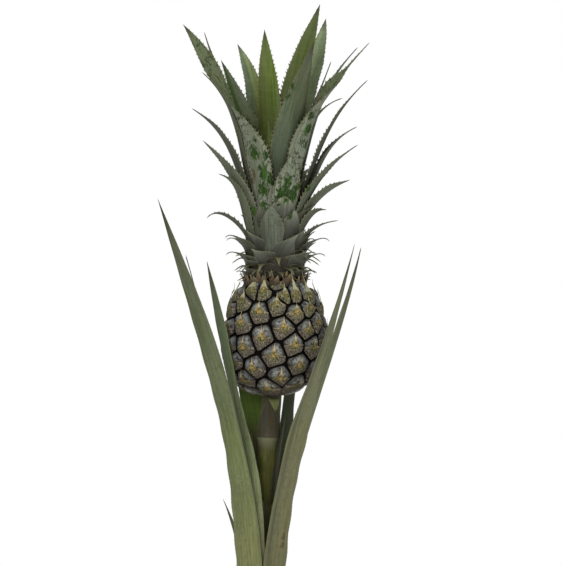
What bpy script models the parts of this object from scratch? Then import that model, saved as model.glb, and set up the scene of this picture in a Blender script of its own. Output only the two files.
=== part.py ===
"""A fruiting pineapple plant, rooted in the ground and fixed there.

A short flared stem stands on the ground and carries long trough-shaped leaves.
A stalk with clasping bracts rises out of them, and bears the fruit with its
crown of leaves. +Z is up, and the origin is the middle of the cut under the
stem. An azimuth of 0 faces -Y and one of 90 faces +X. Sizes are in millimetres.
"""
import math
from collections import namedtuple

import bmesh
import bpy
from mathutils import Vector

MM = 0.001
GAP = 0.3

# Stem and stalk.
STEM_TOP = 150.0
STEM_RADIUS = 12.5
STEM_RINGS = 2
FLARE_RADIUS = 20.0
FLARE_HEIGHT = 26.0
FLARE_RINGS = 5
STALK_FOOT_RADIUS = 10.5
STALK_TOP_RADIUS = 9.5
STALK_RINGS = 8

# The stalk bends towards +X under the weight of the fruit.
BEND_START = 190.0
BEND_END = 450.0
BEND_OFFSET = 12.5

# Fruit. The side is straighter the higher its power, and the shoulders rounder.
FRUIT_FOOT = 363.0
FRUIT_TOP = 473.0
FRUIT_RADIUS = 49.5
FRUIT_FOOT_RADIUS = 15.0
FRUIT_TOP_RADIUS = 28.0
FRUIT_LOWER_POWER = 2.6
FRUIT_UPPER_POWER = 2.0
FRUIT_SHOULDER_POWER = 0.62
FRUIT_RINGS = 12

# The packed leaf bases in the middle of the crown.
CORE_TOP = 584.0
CORE_RADIUS = 26.0
CORE_TOP_RADIUS = 4.0
CORE_POWER = 5
CORE_RINGS = 7

# Round bodies have flat facets, and the leaves keep clear of their corners.
ROUND_SIDES = 20

# Leaves: the thickness along the middle of the foot and the share of it left at the tip,
# how tightly the trough curves, the share of the length by which a blade has widened,
# the pull of the midline's ends as a share of its span, and the step that finds its run.
THICKNESS = 1.4
TIP_THICKNESS = 0.5
TROUGH = 0.75
WIDENED = 0.3
PULL = 0.38
STEP = 0.01

Leaf = namedtuple(
    "Leaf",
    "name azimuth foot reach top lean_foot lean_tip width drift bend foot_share taper rows columns",
)


def leaf(name, azimuth, foot, reach, top, leans, width,
         drift=0.0, bend=1.5, foot_share=0.75, taper=2.2, rows=8, columns=3):
    """One leaf: where it grows, how far its tip is, its leans from the vertical and its width.

    The reach and the drift are the tip's ways out from the stalk and sideways, and a
    greater bend puts more of the drift near the tip.
    """
    return Leaf(name, azimuth, foot, reach, top, leans[0], leans[1], width,
                drift, bend, foot_share, taper, rows, columns)


def long_leaf(name, azimuth, foot, reach, top, leans, width, drift,
              bend=2.4, taper=2.2, rows=12):
    """A leaf of the stem: it clasps at the foot and leans more and more towards its tip."""
    return leaf(name, azimuth, foot, reach, top, leans, width,
                drift=drift, bend=bend, foot_share=1.1, taper=taper, rows=rows, columns=5)


def bract(name, azimuth, foot, reach, top, leans, width, taper):
    """A short leaf that clasps the stalk."""
    return leaf(name, azimuth, foot, reach, top, leans, width,
                foot_share=1.0, taper=taper, rows=5, columns=5)


LONG_LEAVES = [
    long_leaf("leaf_left_short", -98, 30, 38, 264, (9, 12), 17, -1, taper=2.4, rows=8),
    long_leaf("leaf_left_front", -28, 50, 97, 548, (6, 22), 31, -65, taper=2.6, rows=13),
    long_leaf("leaf_right_front", 28, 76, 89, 506, (4, 18), 25, 57, bend=2.3, taper=2.4, rows=13),
    long_leaf("leaf_left_back", -80, 94, 72, 496, (5, 16), 22, -10),
    long_leaf("leaf_right_back", 70, 103, 96, 503, (2, 15), 26, 13, bend=2.5, taper=4.0),
    long_leaf("leaf_left_inner", -48, 118, 59, 490, (2, 12), 28, -13, bend=2.2, taper=3.0),
    long_leaf("leaf_behind_middle", 176, 116, 34, 292, (4, 8), 26, 0, rows=8),
    leaf("leaf_behind_left", -141, 286, 71, 433, (14, 34), 30, drift=-15, foot_share=0.4),
    long_leaf("leaf_behind_right", 118, 160, 63, 443, (8, 14), 24, 31,
              bend=1.4, taper=3.0, rows=9),
]

# The low leaves follow one another round the stem by the golden angle. Each pair of
# values is the first and lowest leaf's and the last leaf's.
LOW_LEAVES = 7
LOW_LEAF_START = 20.0
LOW_LEAF_TURN = 137.5
LOW_LEAF_FOOT = (6.0, 25.2)
LOW_LEAF_REACH = (175.0, 121.0)
LOW_LEAF_TOP = (92.0, 170.0)
LOW_LEAF_LEAN_FOOT = (30.0, 18.0)
LOW_LEAF_LEAN_TIP = (88.0, 64.0)
LOW_LEAF_WIDTH = 34.0
LOW_LEAF_FOOT_SHARE = 0.62
LOW_LEAF_ROWS = 9

BRACTS = [
    bract("bract_low", 4, 190, 14.5, 264, (1, 2), 22, taper=5),
    bract("bract_left", -72, 238, 12, 330, (0, 0), 22, taper=3),
    bract("bract_right", 84, 264, 20, 344, (2, 8), 22, taper=3),
    bract("bract_top", -2, 321, 14.5, 361, (0, 2), 26, taper=5),
]

# The three rings of short hooked leaves under the crown: foot, azimuth of the first hook,
# how far the hooks reach, how high they rise above the foot and how far the tips drop again.
COLLAR_HOOKS = 8
COLLARS = [
    ("crown_collar_low", 474.5, 70, 39, 11, 7),
    ("crown_collar_middle", 485.0, 95, 47, 16, 7),
    ("crown_collar_high", 496.0, 88, 51, 19, 5),
]
COLLAR_HEIGHT = 8.0
COLLAR_WALL = 2.0

# The sections along a hook: share of the way out, share of the rise and size.
HOOK_SECTIONS = ((0.4, 0.8, 0.45), (0.75, 1.0, 0.22))
HOOK_TIP_SIZE = 0.05

CROWN_LEAVES = [
    # The low hooked leaves.
    leaf("crown_leaf_01", -82, 511, 65, 530, (24, 148), 17, drift=-4, taper=3.0),
    leaf("crown_leaf_02", 72, 508, 59, 528, (30, 86), 14, drift=13, bend=1.0, taper=1.4),
    leaf("crown_leaf_03", -6, 507, 37, 543, (6, 12), 27),
    leaf("crown_leaf_04", 70, 518, 49, 538, (26, 105), 18, drift=10, bend=1.2, taper=3.8),
    leaf("crown_leaf_05", -62, 514, 57, 572, (22, 77), 18, drift=-8, bend=1.8, taper=2.8),
    # The middle leaves, which arch out to both sides.
    leaf("crown_leaf_06", 74, 528, 69, 567, (34, 69), 25, drift=19, bend=1.3, taper=4.0),
    leaf("crown_leaf_07", -48, 526, 61, 604, (13, 42), 19, drift=-35, bend=1.2),
    leaf("crown_leaf_08", 62, 532, 75, 600, (24, 55), 21, drift=27, taper=1.4),
    leaf("crown_leaf_09", 100, 538, 79, 618, (26, 66), 24, drift=-5, bend=1.6, taper=3.3),
    leaf("crown_leaf_10", -74, 538, 77, 635, (18, 58), 23, drift=-21, bend=1.8, taper=3.4),
    leaf("crown_leaf_11", 22, 536, 40, 594, (8, 10), 32, drift=4),
    leaf("crown_leaf_12", 80, 545, 87, 662, (21, 47), 27, drift=15, taper=3.0),
    leaf("crown_leaf_13", -84, 550, 70, 669, (15, 49), 18, bend=1.4, taper=3.0),
    leaf("crown_leaf_14", 82, 561, 65, 644, (17, 76), 15, taper=2.3),
    # The tall leaves of the top.
    leaf("crown_leaf_15", -34, 548, 78, 712, (10, 31), 34, drift=-52, bend=1.9, taper=3.6),
    leaf("crown_leaf_16", 50, 555, 93, 695, (15, 47), 32, drift=28, bend=1.2, taper=2.9),
    leaf("crown_leaf_17", 104, 556, 83, 695, (15, 45), 25, drift=4),
    leaf("crown_leaf_18", 100, 564, 55, 681, (10, 21), 17, drift=3, taper=2.7),
    leaf("crown_leaf_19", -120, 555, 78, 711, (15, 19), 19, drift=2, taper=2.0),
    leaf("crown_leaf_20", -146, 568, 41, 682, (8, 16), 30, drift=35),
    leaf("crown_leaf_21", 20, 562, 49, 695, (8, 17), 33, drift=21),
    leaf("crown_leaf_22", 150, 564, 72, 725, (11, 11), 31, drift=-15, bend=1.4, taper=4.1),
    leaf("crown_leaf_23", -150, 558, 63, 700, (12, 42), 26, drift=6, bend=1.6, taper=3.5),
    leaf("crown_leaf_24", 147, 571, 42, 736, (7, 17), 33, drift=-24, taper=3.2),
    leaf("crown_leaf_25", -162, 573, 27, 712, (2, 5), 28, drift=2, taper=2.9),
    # The leaves round the back.
    leaf("crown_leaf_26", 180, 556, 62, 646, (16, 30), 27),
    leaf("crown_leaf_27", -163, 540, 80, 612, (24, 60), 25),
    leaf("crown_leaf_28", 164, 545, 82, 630, (22, 58), 25),
    leaf("crown_leaf_29", 178, 520, 76, 566, (34, 84), 22),
    leaf("crown_leaf_30", -148, 524, 58, 574, (28, 70), 21),
    leaf("crown_leaf_31", 146, 526, 60, 580, (28, 70), 21),
    leaf("crown_leaf_32", -160, 508, 60, 524, (40, 120), 16),
    leaf("crown_leaf_33", 155, 511, 62, 530, (40, 115), 16),
]

COLORS = {
    "stem": (0.20, 0.17, 0.09),
    "stalk": (0.17, 0.18, 0.08),
    "bract": (0.12, 0.11, 0.08),
    "leaf": (0.13, 0.17, 0.09),
    "crown": (0.17, 0.22, 0.13),
    "fruit": (0.13, 0.12, 0.11),
}


def clear_scene():
    for item in list(bpy.data.objects):
        bpy.data.objects.remove(item)


def material(kind):
    """The plain finish that every sub-part of one kind shares."""
    found = bpy.data.materials.get(kind)
    if found:
        return found
    made = bpy.data.materials.new(kind)
    made.use_nodes = True
    shader = made.node_tree.nodes["Principled BSDF"]
    shader.inputs["Base Color"].default_value = (*COLORS[kind], 1.0)
    shader.inputs["Roughness"].default_value = 0.6
    return made


def add_mesh(name, kind, vertices, faces):
    """An object from vertices in millimetres, with its faces turned out."""
    mesh = bpy.data.meshes.new(name)
    mesh.from_pydata([[c * MM for c in v] for v in vertices], [], faces)
    shape = bmesh.new()
    shape.from_mesh(mesh)
    bmesh.ops.recalc_face_normals(shape, faces=shape.faces)
    shape.to_mesh(mesh)
    shape.free()
    mesh.materials.append(material(kind))
    mesh.shade_smooth()
    mesh.set_sharp_from_angle(angle=math.radians(40))
    made = bpy.data.objects.new(name, mesh)
    bpy.context.scene.collection.objects.link(made)
    return made


def smooth_step(value, low, high):
    share = min(max((value - low) / (high - low), 0.0), 1.0)
    return share * share * (3.0 - 2.0 * share)


def axis_x(height):
    """Where the middle of the plant lies at a height."""
    return BEND_OFFSET * smooth_step(height, BEND_START, BEND_END)


def stem_radius(height):
    flare = (FLARE_RADIUS - STEM_RADIUS) * (1.0 - min(height / FLARE_HEIGHT, 1.0)) ** 2
    return STEM_RADIUS + flare


def stalk_radius(height):
    share = (height - STEM_TOP) / (FRUIT_FOOT - STEM_TOP)
    return STALK_FOOT_RADIUS + (STALK_TOP_RADIUS - STALK_FOOT_RADIUS) * share


def fruit_radius(height):
    """A barrel, fuller below the middle than above it."""
    share = (height - FRUIT_FOOT) / (FRUIT_TOP - FRUIT_FOOT)
    end = FRUIT_FOOT_RADIUS + (FRUIT_TOP_RADIUS - FRUIT_FOOT_RADIUS) * share
    power = FRUIT_LOWER_POWER if share < 0.5 else FRUIT_UPPER_POWER
    swell = (1.0 - abs(2.0 * share - 1.0) ** power) ** FRUIT_SHOULDER_POWER
    return end + (FRUIT_RADIUS - end) * swell


def core_radius(height):
    share = (height - FRUIT_TOP) / (CORE_TOP - FRUIT_TOP)
    return CORE_TOP_RADIUS + (CORE_RADIUS - CORE_TOP_RADIUS) * (1.0 - share ** CORE_POWER)


def column_radius(height):
    """What a leaf's foot sits on at a height: the stem, the stalk or the crown's core."""
    if height < STEM_TOP:
        return stem_radius(height)
    if height < FRUIT_FOOT:
        return stalk_radius(height)
    return core_radius(height)


def turned(name, kind, heights, radius):
    """A round body of the given radii along the plant's bent axis."""
    vertices = []
    for height in heights:
        for side in range(ROUND_SIDES):
            angle = 2.0 * math.pi * side / ROUND_SIDES
            out = radius(height)
            vertices.append((axis_x(height) + out * math.cos(angle), out * math.sin(angle), height))
    faces = [tuple(range(ROUND_SIDES))]
    for ring in range(len(heights) - 1):
        for side in range(ROUND_SIDES):
            near = ring * ROUND_SIDES + side
            far = ring * ROUND_SIDES + (side + 1) % ROUND_SIDES
            faces.append((near, far, far + ROUND_SIDES, near + ROUND_SIDES))
    last = (len(heights) - 1) * ROUND_SIDES
    faces.append(tuple(range(last, last + ROUND_SIDES)))
    return add_mesh(name, kind, vertices, faces)


def steps(low, high, count):
    return [low + (high - low) * i / count for i in range(count + 1)]


def half_width(grown, t):
    widening = grown.foot_share + (1.0 - grown.foot_share) * smooth_step(t, 0.0, WIDENED)
    return 0.5 * grown.width * widening * (1.0 - t ** grown.taper)


def foot_radius(grown):
    """Clear of the column by the gap, at the middle of the blade and at its flat facets."""
    column = column_radius(grown.foot)
    facet = half_width(grown, 0.0) / ((grown.columns - 1) * column)
    flat = column * (1.0 - math.cos(facet))
    below = 0.5 * THICKNESS
    return column + GAP + max(below, 0.5 * below + flat)


def midline(grown, t):
    """The middle of the blade at a share of its length."""
    foot = Vector((foot_radius(grown), grown.foot))
    tip = Vector((grown.reach, grown.top))
    handle = PULL * (tip - foot).length
    lean_foot = math.radians(grown.lean_foot)
    lean_tip = math.radians(grown.lean_tip)
    rise = foot + handle * Vector((math.sin(lean_foot), math.cos(lean_foot)))
    fall = tip - handle * Vector((math.sin(lean_tip), math.cos(lean_tip)))
    u = 1.0 - t
    out, height = u ** 3 * foot + 3 * u * u * t * rise + 3 * u * t * t * fall + t ** 3 * tip
    outward, side = directions(grown)
    axis = Vector((axis_x(grown.foot), 0.0, height))
    return axis + outward * out + side * grown.drift * t ** grown.bend


def directions(grown):
    """Out from the stalk at the leaf's azimuth, and sideways from that."""
    azimuth = math.radians(grown.azimuth)
    outward = Vector((math.sin(azimuth), -math.cos(azimuth), 0.0))
    return outward, Vector((math.cos(azimuth), math.sin(azimuth), 0.0))


def section(grown, t):
    """Points across the upper face and the lower face of a leaf at a share of its length."""
    middle = midline(grown, t)
    ahead, behind = midline(grown, min(t + STEP, 1.0)), midline(grown, max(t - STEP, 0.0))
    along = (ahead - behind).normalized()
    outward, side = directions(grown)
    side = (side - along * along.dot(side)).normalized()
    inward = along.cross(side)
    from_axis = (middle - Vector((axis_x(grown.foot), 0.0, middle.z))).length
    curve = min(from_axis, TROUGH * grown.width)
    half_thickness = 0.5 * THICKNESS * (1.0 - (1.0 - TIP_THICKNESS) * t)
    upper, lower = [], []
    for column in range(grown.columns):
        share = 2.0 * column / (grown.columns - 1) - 1.0
        angle = share * half_width(grown, t) / curve
        point = middle + side * curve * math.sin(angle) + inward * curve * (1.0 - math.cos(angle))
        thin = half_thickness * (1.0 - share * share)
        normal = inward * math.cos(angle) - side * math.sin(angle)
        upper.append(point + normal * thin)
        lower.append(point - normal * thin)
    return upper, lower[1:-1]


def blade(grown, kind):
    """A closed thin blade with a trough across it, ending in one point."""
    vertices, faces = [], []
    ring = 2 * grown.columns - 2
    for row in range(grown.rows):
        upper, lower = section(grown, row / grown.rows)
        vertices += upper + lower[::-1]
    for row in range(grown.rows - 1):
        for i in range(ring):
            near = row * ring + i
            far = row * ring + (i + 1) % ring
            faces.append((near, far, far + ring, near + ring))
    faces.append(tuple(range(ring)))
    tip = len(vertices)
    vertices.append(section(grown, 1.0)[0][grown.columns // 2])
    last = (grown.rows - 1) * ring
    for i in range(ring):
        faces.append((last + i, last + (i + 1) % ring, tip))
    return add_mesh(grown.name, kind, vertices, faces)


def collar(name, foot, azimuth, reach, rise, drop):
    """A ring round the crown's foot whose every other side is drawn out into a hook."""
    sides = 2 * COLLAR_HOOKS
    inner = (core_radius(foot) + GAP) / math.cos(math.pi / ROUND_SIDES)
    outer = inner + COLLAR_WALL
    middle = axis_x(foot)
    shape = bmesh.new()

    def ring(radius, height):
        return [shape.verts.new((middle + radius * math.sin(a), -radius * math.cos(a), height))
                for a in (math.radians(azimuth) + math.pi * (2 * i - 1) / sides
                          for i in range(sides))]

    low_in, low_out = ring(inner, foot), ring(outer, foot)
    high_in, high_out = ring(inner, foot + COLLAR_HEIGHT), ring(outer, foot + COLLAR_HEIGHT)
    walls = []
    for i in range(sides):
        j = (i + 1) % sides
        shape.faces.new((low_in[i], low_in[j], high_in[j], high_in[i]))
        shape.faces.new((low_in[i], low_out[i], low_out[j], low_in[j]))
        shape.faces.new((high_in[i], high_in[j], high_out[j], high_out[i]))
        walls.append(shape.faces.new((low_out[i], high_out[i], high_out[j], low_out[j])))
    for i in range(0, sides, 2):
        draw_hook(shape, walls[i], math.radians(azimuth) + 2 * math.pi * i / sides,
                  middle, outer, (foot, reach, rise, drop))
    vertices = [v.co.copy() for v in shape.verts]
    shape.verts.index_update()
    faces = [[v.index for v in face.verts] for face in shape.faces]
    shape.free()
    return add_mesh(name, "crown", vertices, faces)


def draw_hook(shape, wall, azimuth, middle, start, form):
    """Draws a wall out along an arch that thins towards a drooping point."""
    foot, reach, rise, drop = form
    outward = Vector((math.sin(azimuth), -math.cos(azimuth), 0.0))
    face = wall
    base = wall.calc_center_median()
    corners = [v.co - base for v in wall.verts]
    for share, height, size in HOOK_SECTIONS + ((1.0, 1.0 - drop / rise, HOOK_TIP_SIZE),):
        out = start + (reach - start) * share
        centre = Vector((middle, 0.0, foot + rise * height)) + outward * out
        face = bmesh.ops.extrude_discrete_faces(shape, faces=[face])["faces"][0]
        for vertex, corner in zip(face.verts, corners):
            vertex.co = centre + corner * size


def low_leaf(index):
    """The low leaves stand round the foot of the stem, arching out under the tall ones."""
    share = index / (LOW_LEAVES - 1)

    def between(ends):
        return ends[0] + (ends[1] - ends[0]) * share

    azimuth = (LOW_LEAF_START + LOW_LEAF_TURN * index) % 360.0
    return leaf(f"leaf_low_{index + 1}", azimuth, between(LOW_LEAF_FOOT), between(LOW_LEAF_REACH),
                between(LOW_LEAF_TOP), (between(LOW_LEAF_LEAN_FOOT), between(LOW_LEAF_LEAN_TIP)),
                LOW_LEAF_WIDTH, foot_share=LOW_LEAF_FOOT_SHARE, rows=LOW_LEAF_ROWS)


def build():
    clear_scene()
    flare = steps(0.0, FLARE_HEIGHT, FLARE_RINGS)
    straight = steps(FLARE_HEIGHT, STEM_TOP, STEM_RINGS)
    turned("stem", "stem", flare + straight[1:], stem_radius)
    turned("stalk", "stalk", steps(STEM_TOP + GAP, FRUIT_FOOT, STALK_RINGS), stalk_radius)
    turned("fruit", "fruit", steps(FRUIT_FOOT + GAP, FRUIT_TOP, FRUIT_RINGS), fruit_radius)
    turned("crown_core", "crown", steps(FRUIT_TOP + GAP, CORE_TOP, CORE_RINGS), core_radius)
    for grown in LONG_LEAVES:
        blade(grown, "leaf")
    for index in range(LOW_LEAVES):
        blade(low_leaf(index), "leaf")
    for grown in BRACTS:
        blade(grown, "bract")
    for form in COLLARS:
        collar(*form)
    for grown in CROWN_LEAVES:
        blade(grown, "crown")


build()
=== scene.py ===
import math

import bpy
import numpy as np
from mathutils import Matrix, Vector, noise


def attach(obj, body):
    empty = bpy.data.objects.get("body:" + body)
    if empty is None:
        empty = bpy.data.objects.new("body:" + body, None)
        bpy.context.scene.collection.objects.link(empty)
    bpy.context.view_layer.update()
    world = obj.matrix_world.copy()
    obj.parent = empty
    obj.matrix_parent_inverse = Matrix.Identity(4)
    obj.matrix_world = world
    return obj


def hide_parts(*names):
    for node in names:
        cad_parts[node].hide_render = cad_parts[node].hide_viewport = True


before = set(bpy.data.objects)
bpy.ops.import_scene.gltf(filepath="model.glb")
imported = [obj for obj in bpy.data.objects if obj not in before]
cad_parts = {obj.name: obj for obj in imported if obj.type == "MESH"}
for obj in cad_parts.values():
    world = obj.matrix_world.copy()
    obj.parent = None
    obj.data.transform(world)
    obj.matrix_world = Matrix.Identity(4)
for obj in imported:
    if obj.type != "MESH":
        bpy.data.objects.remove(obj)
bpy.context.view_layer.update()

# A fruiting pineapple plant. Sizes are in millimetres until a mesh is made, and an
# azimuth of 0 faces -Y, one of 90 faces +X.
mm = 0.001
print("stage: frame loaded,", len(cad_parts), "nodes")


def linear(hexColour):
    channels = [int(hexColour[i:i + 2], 16) / 255 for i in (1, 3, 5)]
    return [c / 12.92 if c <= 0.04045 else ((c + 0.055) / 1.055) ** 2.4 for c in channels] + [1.0]


def addNode(tree, kind, inputs=None, output=0, **settings):
    # an input, by its name or number, is a socket to link, a hex colour or a plain value
    node = tree.nodes.new("ShaderNode" + kind)
    for name, value in settings.items():
        setattr(node, name, value)
    for name, value in (inputs or {}).items():
        if isinstance(value, bpy.types.NodeSocket):
            tree.links.new(value, node.inputs[name])
        else:
            node.inputs[name].default_value = linear(value) if isinstance(value, str) else value
    return node.outputs[output]


def newMaterial(name, **values):
    material = bpy.data.materials.new(name)
    material.use_nodes = True
    shader = material.node_tree.nodes["Principled BSDF"]
    for socket, value in values.items():
        shader.inputs[socket.replace("_", " ")].default_value = value
    return material


def startMaterial(name, form):
    # a material and the values that its colours can follow: what the mesh holds at each point, under the
    # names that the finish gives it, and its patterns, each with its three sizes in mm
    material = newMaterial(name, Roughness=form["roughness"], Specular_IOR_Level=form["specular"])
    tree = material.node_tree
    where = addNode(tree, "Attribute", output="Vector", attribute_name="millimetres")
    values = {"where": where}
    for held in ("place", "tone"):
        if held in form:
            vector = addNode(tree, "Attribute", output="Vector", attribute_name=held)
            values.update(zip(form[held], addNode(tree, "SeparateXYZ", {0: vector}).node.outputs))
    for pattern, (kind, sizes, settings) in form["patterns"].items():
        perMillimetre = [1 / size for size in sizes]
        scaled = addNode(tree, "VectorMath", {0: where, 1: perMillimetre}, operation="MULTIPLY")
        values[pattern] = addNode(tree, kind, {"Vector": scaled, "Scale": 1.0, **settings})
    return material, tree, values


def layColours(tree, values, layers):
    # a first colour, and layers over it: each has its colour, how strong it is, and the values that
    # it follows, with where they let none of it through and where all
    colour = values.get(layers[0], layers[0])
    for coat, strength, *followed in layers[1:]:
        strength = values.get(strength, strength)
        for name, none, full in followed:
            inputs = {"Value": values[name], "From Min": none, "From Max": full, "To Max": strength}
            strength = addNode(tree, "MapRange", inputs, interpolation_type="SMOOTHSTEP")
        inputs = {0: strength, 6: colour, 7: values.get(coat, coat)}
        colour = addNode(tree, "Mix", inputs, output=2, data_type="RGBA")
    return colour


def finishMaterial(material, values, form):
    # lays the finish's colours, and a bump after one of its patterns, with its depth in mm
    tree = material.node_tree
    shader = tree.nodes["Principled BSDF"]
    tree.links.new(layColours(tree, values, form["layers"]), shader.inputs["Base Color"])
    if "bump" in form:
        pattern, strength, depth = form["bump"]
        inputs = {"Height": values[pattern], "Strength": strength, "Distance": depth * mm}
        tree.links.new(addNode(tree, "Bump", inputs), shader.inputs["Normal"])
    return material


def makeMaterial(name, form):
    material, _, values = startMaterial(name, form)
    return finishMaterial(material, values, form)


def newShape():
    return dict(points=[], faces=[], finish=[], place=[], millimetres=[], tone=[], count=0)


def addPart(shape, points, faces, place, millimetres, finish=0, tone=None):
    # points, place, millimetres and tone have a row of three for each point, and finish is one
    # number or one for each face
    points = np.reshape(points, (-1, 3))
    tone = np.zeros(points.shape) if tone is None else tone
    for key, rows in (("points", points), ("place", place), ("millimetres", millimetres), ("tone", tone)):
        shape[key].append(np.reshape(rows, (-1, 3)))
    shape["faces"] += [[corner + shape["count"] for corner in face] for face in faces]
    shape["finish"] += [finish] * len(faces) if isinstance(finish, int) else list(finish)
    shape["count"] += len(points)


def finishShape(name, shape, materials, nodes=(), sharp=55.0):
    # a mesh on the body "root", smooth but for edges sharper than an angle in degrees
    mesh = bpy.data.meshes.new(name)
    points = np.concatenate(shape["points"]) * mm
    mesh.from_pydata(points.tolist(), [], shape["faces"])
    for material in materials:
        mesh.materials.append(material)
    mesh.polygons.foreach_set("material_index", shape["finish"])
    for key in ("place", "millimetres", "tone"):
        values = np.concatenate(shape[key]).astype(np.float32)
        mesh.attributes.new(key, "FLOAT_VECTOR", "POINT").data.foreach_set("vector", values.ravel())
    mesh.update()
    mesh.shade_smooth()
    mesh.set_sharp_from_angle(angle=math.radians(sharp))
    piece = bpy.data.objects.new(name, mesh)
    bpy.context.scene.collection.objects.link(piece)
    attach(piece, "root")
    if nodes:
        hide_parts(*nodes)
    return piece


def ringFaces(rows, around, flip=False):
    faces = []
    for row in range(rows - 1):
        for i in range(around):
            near, far = row * around + i, row * around + (i + 1) % around
            face = [near, far, far + around, near + around]
            faces.append(face[::-1] if flip else face)
    return faces


def gridFaces(rows, columns):
    return [[r * columns + c, r * columns + c + 1, (r + 1) * columns + c + 1, (r + 1) * columns + c]
            for r in range(rows - 1) for c in range(columns - 1)]


def smoothStep(value, low, high):
    share = np.clip((value - low) / (high - low), 0.0, 1.0)
    return share * share * (3.0 - 2.0 * share)


def unit(vectors):
    return vectors / np.linalg.norm(vectors, axis=-1, keepdims=True)


def fromTo(ends, share):
    return ends[0] + (ends[1] - ends[0]) * share


def lumps(points, size):
    # smooth noise from -1 to 1 at points in mm, for lumps of about the given size
    flat = np.reshape(points, (-1, 3)) / size
    return np.reshape([noise.noise(Vector(p)) for p in flat], np.shape(points)[:-1])


# the stem, stalk, fruit and crown core are round about one bent line
plantForm = dict(
    stemTop=150.0, stemRadius=12.5, flareRadius=20.0, flareHeight=26.0,
    stalkFootRadius=10.5, stalkTopRadius=9.5,
    nodeHeight=322.0, nodeSwell=1.2, nodeSpread=3.0,
    bendStart=190.0, bendEnd=450.0, bendOffset=12.5,
    fruitFoot=363.0, fruitTop=473.0, fruitRadius=49.5, fruitFootRadius=13.5, fruitTopRadius=24.5,
    lowerPower=2.45, upperPower=2.0, shoulderPower=0.62,  # how full the barrel is below and above
    coreTop=584.0, coreRadius=26.0, coreTopRadius=4.0, corePower=5,
    coreDepth=2.0,                                        # how far inside the leaves' feet it is drawn
    stemRelief=(0.8, 7.0), stalkRelief=(0.3, 9.0),        # the height and the size of the lumps
)


def axisX(height):
    return plantForm["bendOffset"] * smoothStep(height, plantForm["bendStart"], plantForm["bendEnd"])


def stemRadius(height):
    form = plantForm
    down = 1 - np.minimum(height / form["flareHeight"], 1)
    return fromTo((form["stemRadius"], form["flareRadius"]), down ** 2)


def stalkRadius(height):
    form = plantForm
    share = (height - form["stemTop"]) / (form["fruitFoot"] - form["stemTop"])
    node = form["nodeSwell"] * np.exp(-((height - form["nodeHeight"]) / form["nodeSpread"]) ** 2)
    return fromTo((form["stalkFootRadius"], form["stalkTopRadius"]), share) + node


def fruitRadius(height):
    form = plantForm
    share = np.clip((height - form["fruitFoot"]) / (form["fruitTop"] - form["fruitFoot"]), 0, 1)
    end = fromTo((form["fruitFootRadius"], form["fruitTopRadius"]), share)
    power = np.where(share < 0.5, form["lowerPower"], form["upperPower"])
    swell = (1 - np.abs(2 * share - 1) ** power) ** form["shoulderPower"]
    return fromTo((end, form["fruitRadius"]), swell)


def coreRadius(height):
    form = plantForm
    share = np.clip((height - form["fruitTop"]) / (form["coreTop"] - form["fruitTop"]), 0, 1)
    return fromTo((form["coreTopRadius"], form["coreRadius"]), 1 - share ** form["corePower"])


def columnRadius(height):
    if height < plantForm["stemTop"]:
        return stemRadius(height)
    return stalkRadius(height) if height < plantForm["fruitFoot"] else coreRadius(height)


# every leaf, bract and scale is a blade: a line that leaves the column, with a trough across it
bladeForm = dict(
    gap=0.3, thickness=1.4, widened=0.3, step=0.01,
    rowLength=3.2, fewestRows=10,
    columns=17, crowding=0.45,                      # how much the columns crowd towards the margins
    edgePower=0.7, midrib=0.12, tipThickness=0.5,   # how the thickness falls to the margins and the tip
    wave=0.5, waveLength=38.0, waveFrom=40.0,       # how far the margins wave, and from where in full
    waveShift=1.7, marginShift=2.2,                 # between two leaves, and between the two margins
    sheathStep=3.0, tuck=0.12, lowest=0.5,          # the clasping base under the foot, which tucks in
    patternStep=37.0,                               # how far apart two leaves lie in the patterns
    paleEnd=0.85,                                   # a pale tip stays this much short of the dry end
)
leafForm = dict(
    drift=0.0, bend=1.5,            # how far the tip lies to one side, and how late the line turns there
    footShare=0.75, taper=2.2, thickness=1.0, spines=1.0, sheath=14.0, trough=0.75, pull=0.38,
    claw=None,                      # a narrow end: where it starts and is in full, and its share
    waist=None,                     # a narrower stretch: where, by how much and how long
    bow=None,                       # how far the line bows to one side, and how late
    twist=None,                     # where a twist starts and ends, and its degrees
    tintsAndShading=("#3f4731", "#50593b", "#525a3a"), leftTintAndShade=None,  # from root to tip, and on the left half: own colours, with painted shade in some darker roots and left halves, and painted light in some brighter stretches
    paintedCreaseShade=None, shade=None,        # where a crease darkened with painted shade runs, and a left side darkened with painted shade
    rubs=(), stains=(), bloom=0.45, paleTip=False,
)
# where the seeds of each kind of leaf start
firstSeed = dict(long=1, low=21, crown=41, stalk=91, folded=96, collar=120, heart=140, scale=150,
                 front=200, dry=210, neck=260)
# where the left half's tint ends, how wide and dark the painted shade of a crease and of the strip beside
# it is, and how much longer than wide a rub or stain is
toneForm = dict(leftEdge=(-0.25, 0.1), creaseWidth=0.05, creaseShadeDepth=0.55, stripWidth=0.1,
                stripShadeDepth=0.12, spotLength=1.6)


def directions(leaf):
    azimuth = math.radians(leaf["azimuth"])
    outward = np.array([math.sin(azimuth), -math.cos(azimuth), 0.0])
    return outward, np.array([math.cos(azimuth), math.sin(azimuth), 0.0])


def halfWidth(leaf, t):
    widening = fromTo((leaf["footShare"], 1.0), smoothStep(t, 0, bladeForm["widened"]))
    if leaf["claw"]:
        start, end, share = leaf["claw"]
        widening = widening * (1 - (1 - share) * smoothStep(t, start, end))
    if leaf["waist"]:
        centre, share, spread = leaf["waist"]
        widening = widening * (1 - share * np.exp(-((t - centre) / spread) ** 2))
    return 0.5 * leaf["width"] * widening * (1 - t ** leaf["taper"])


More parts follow.
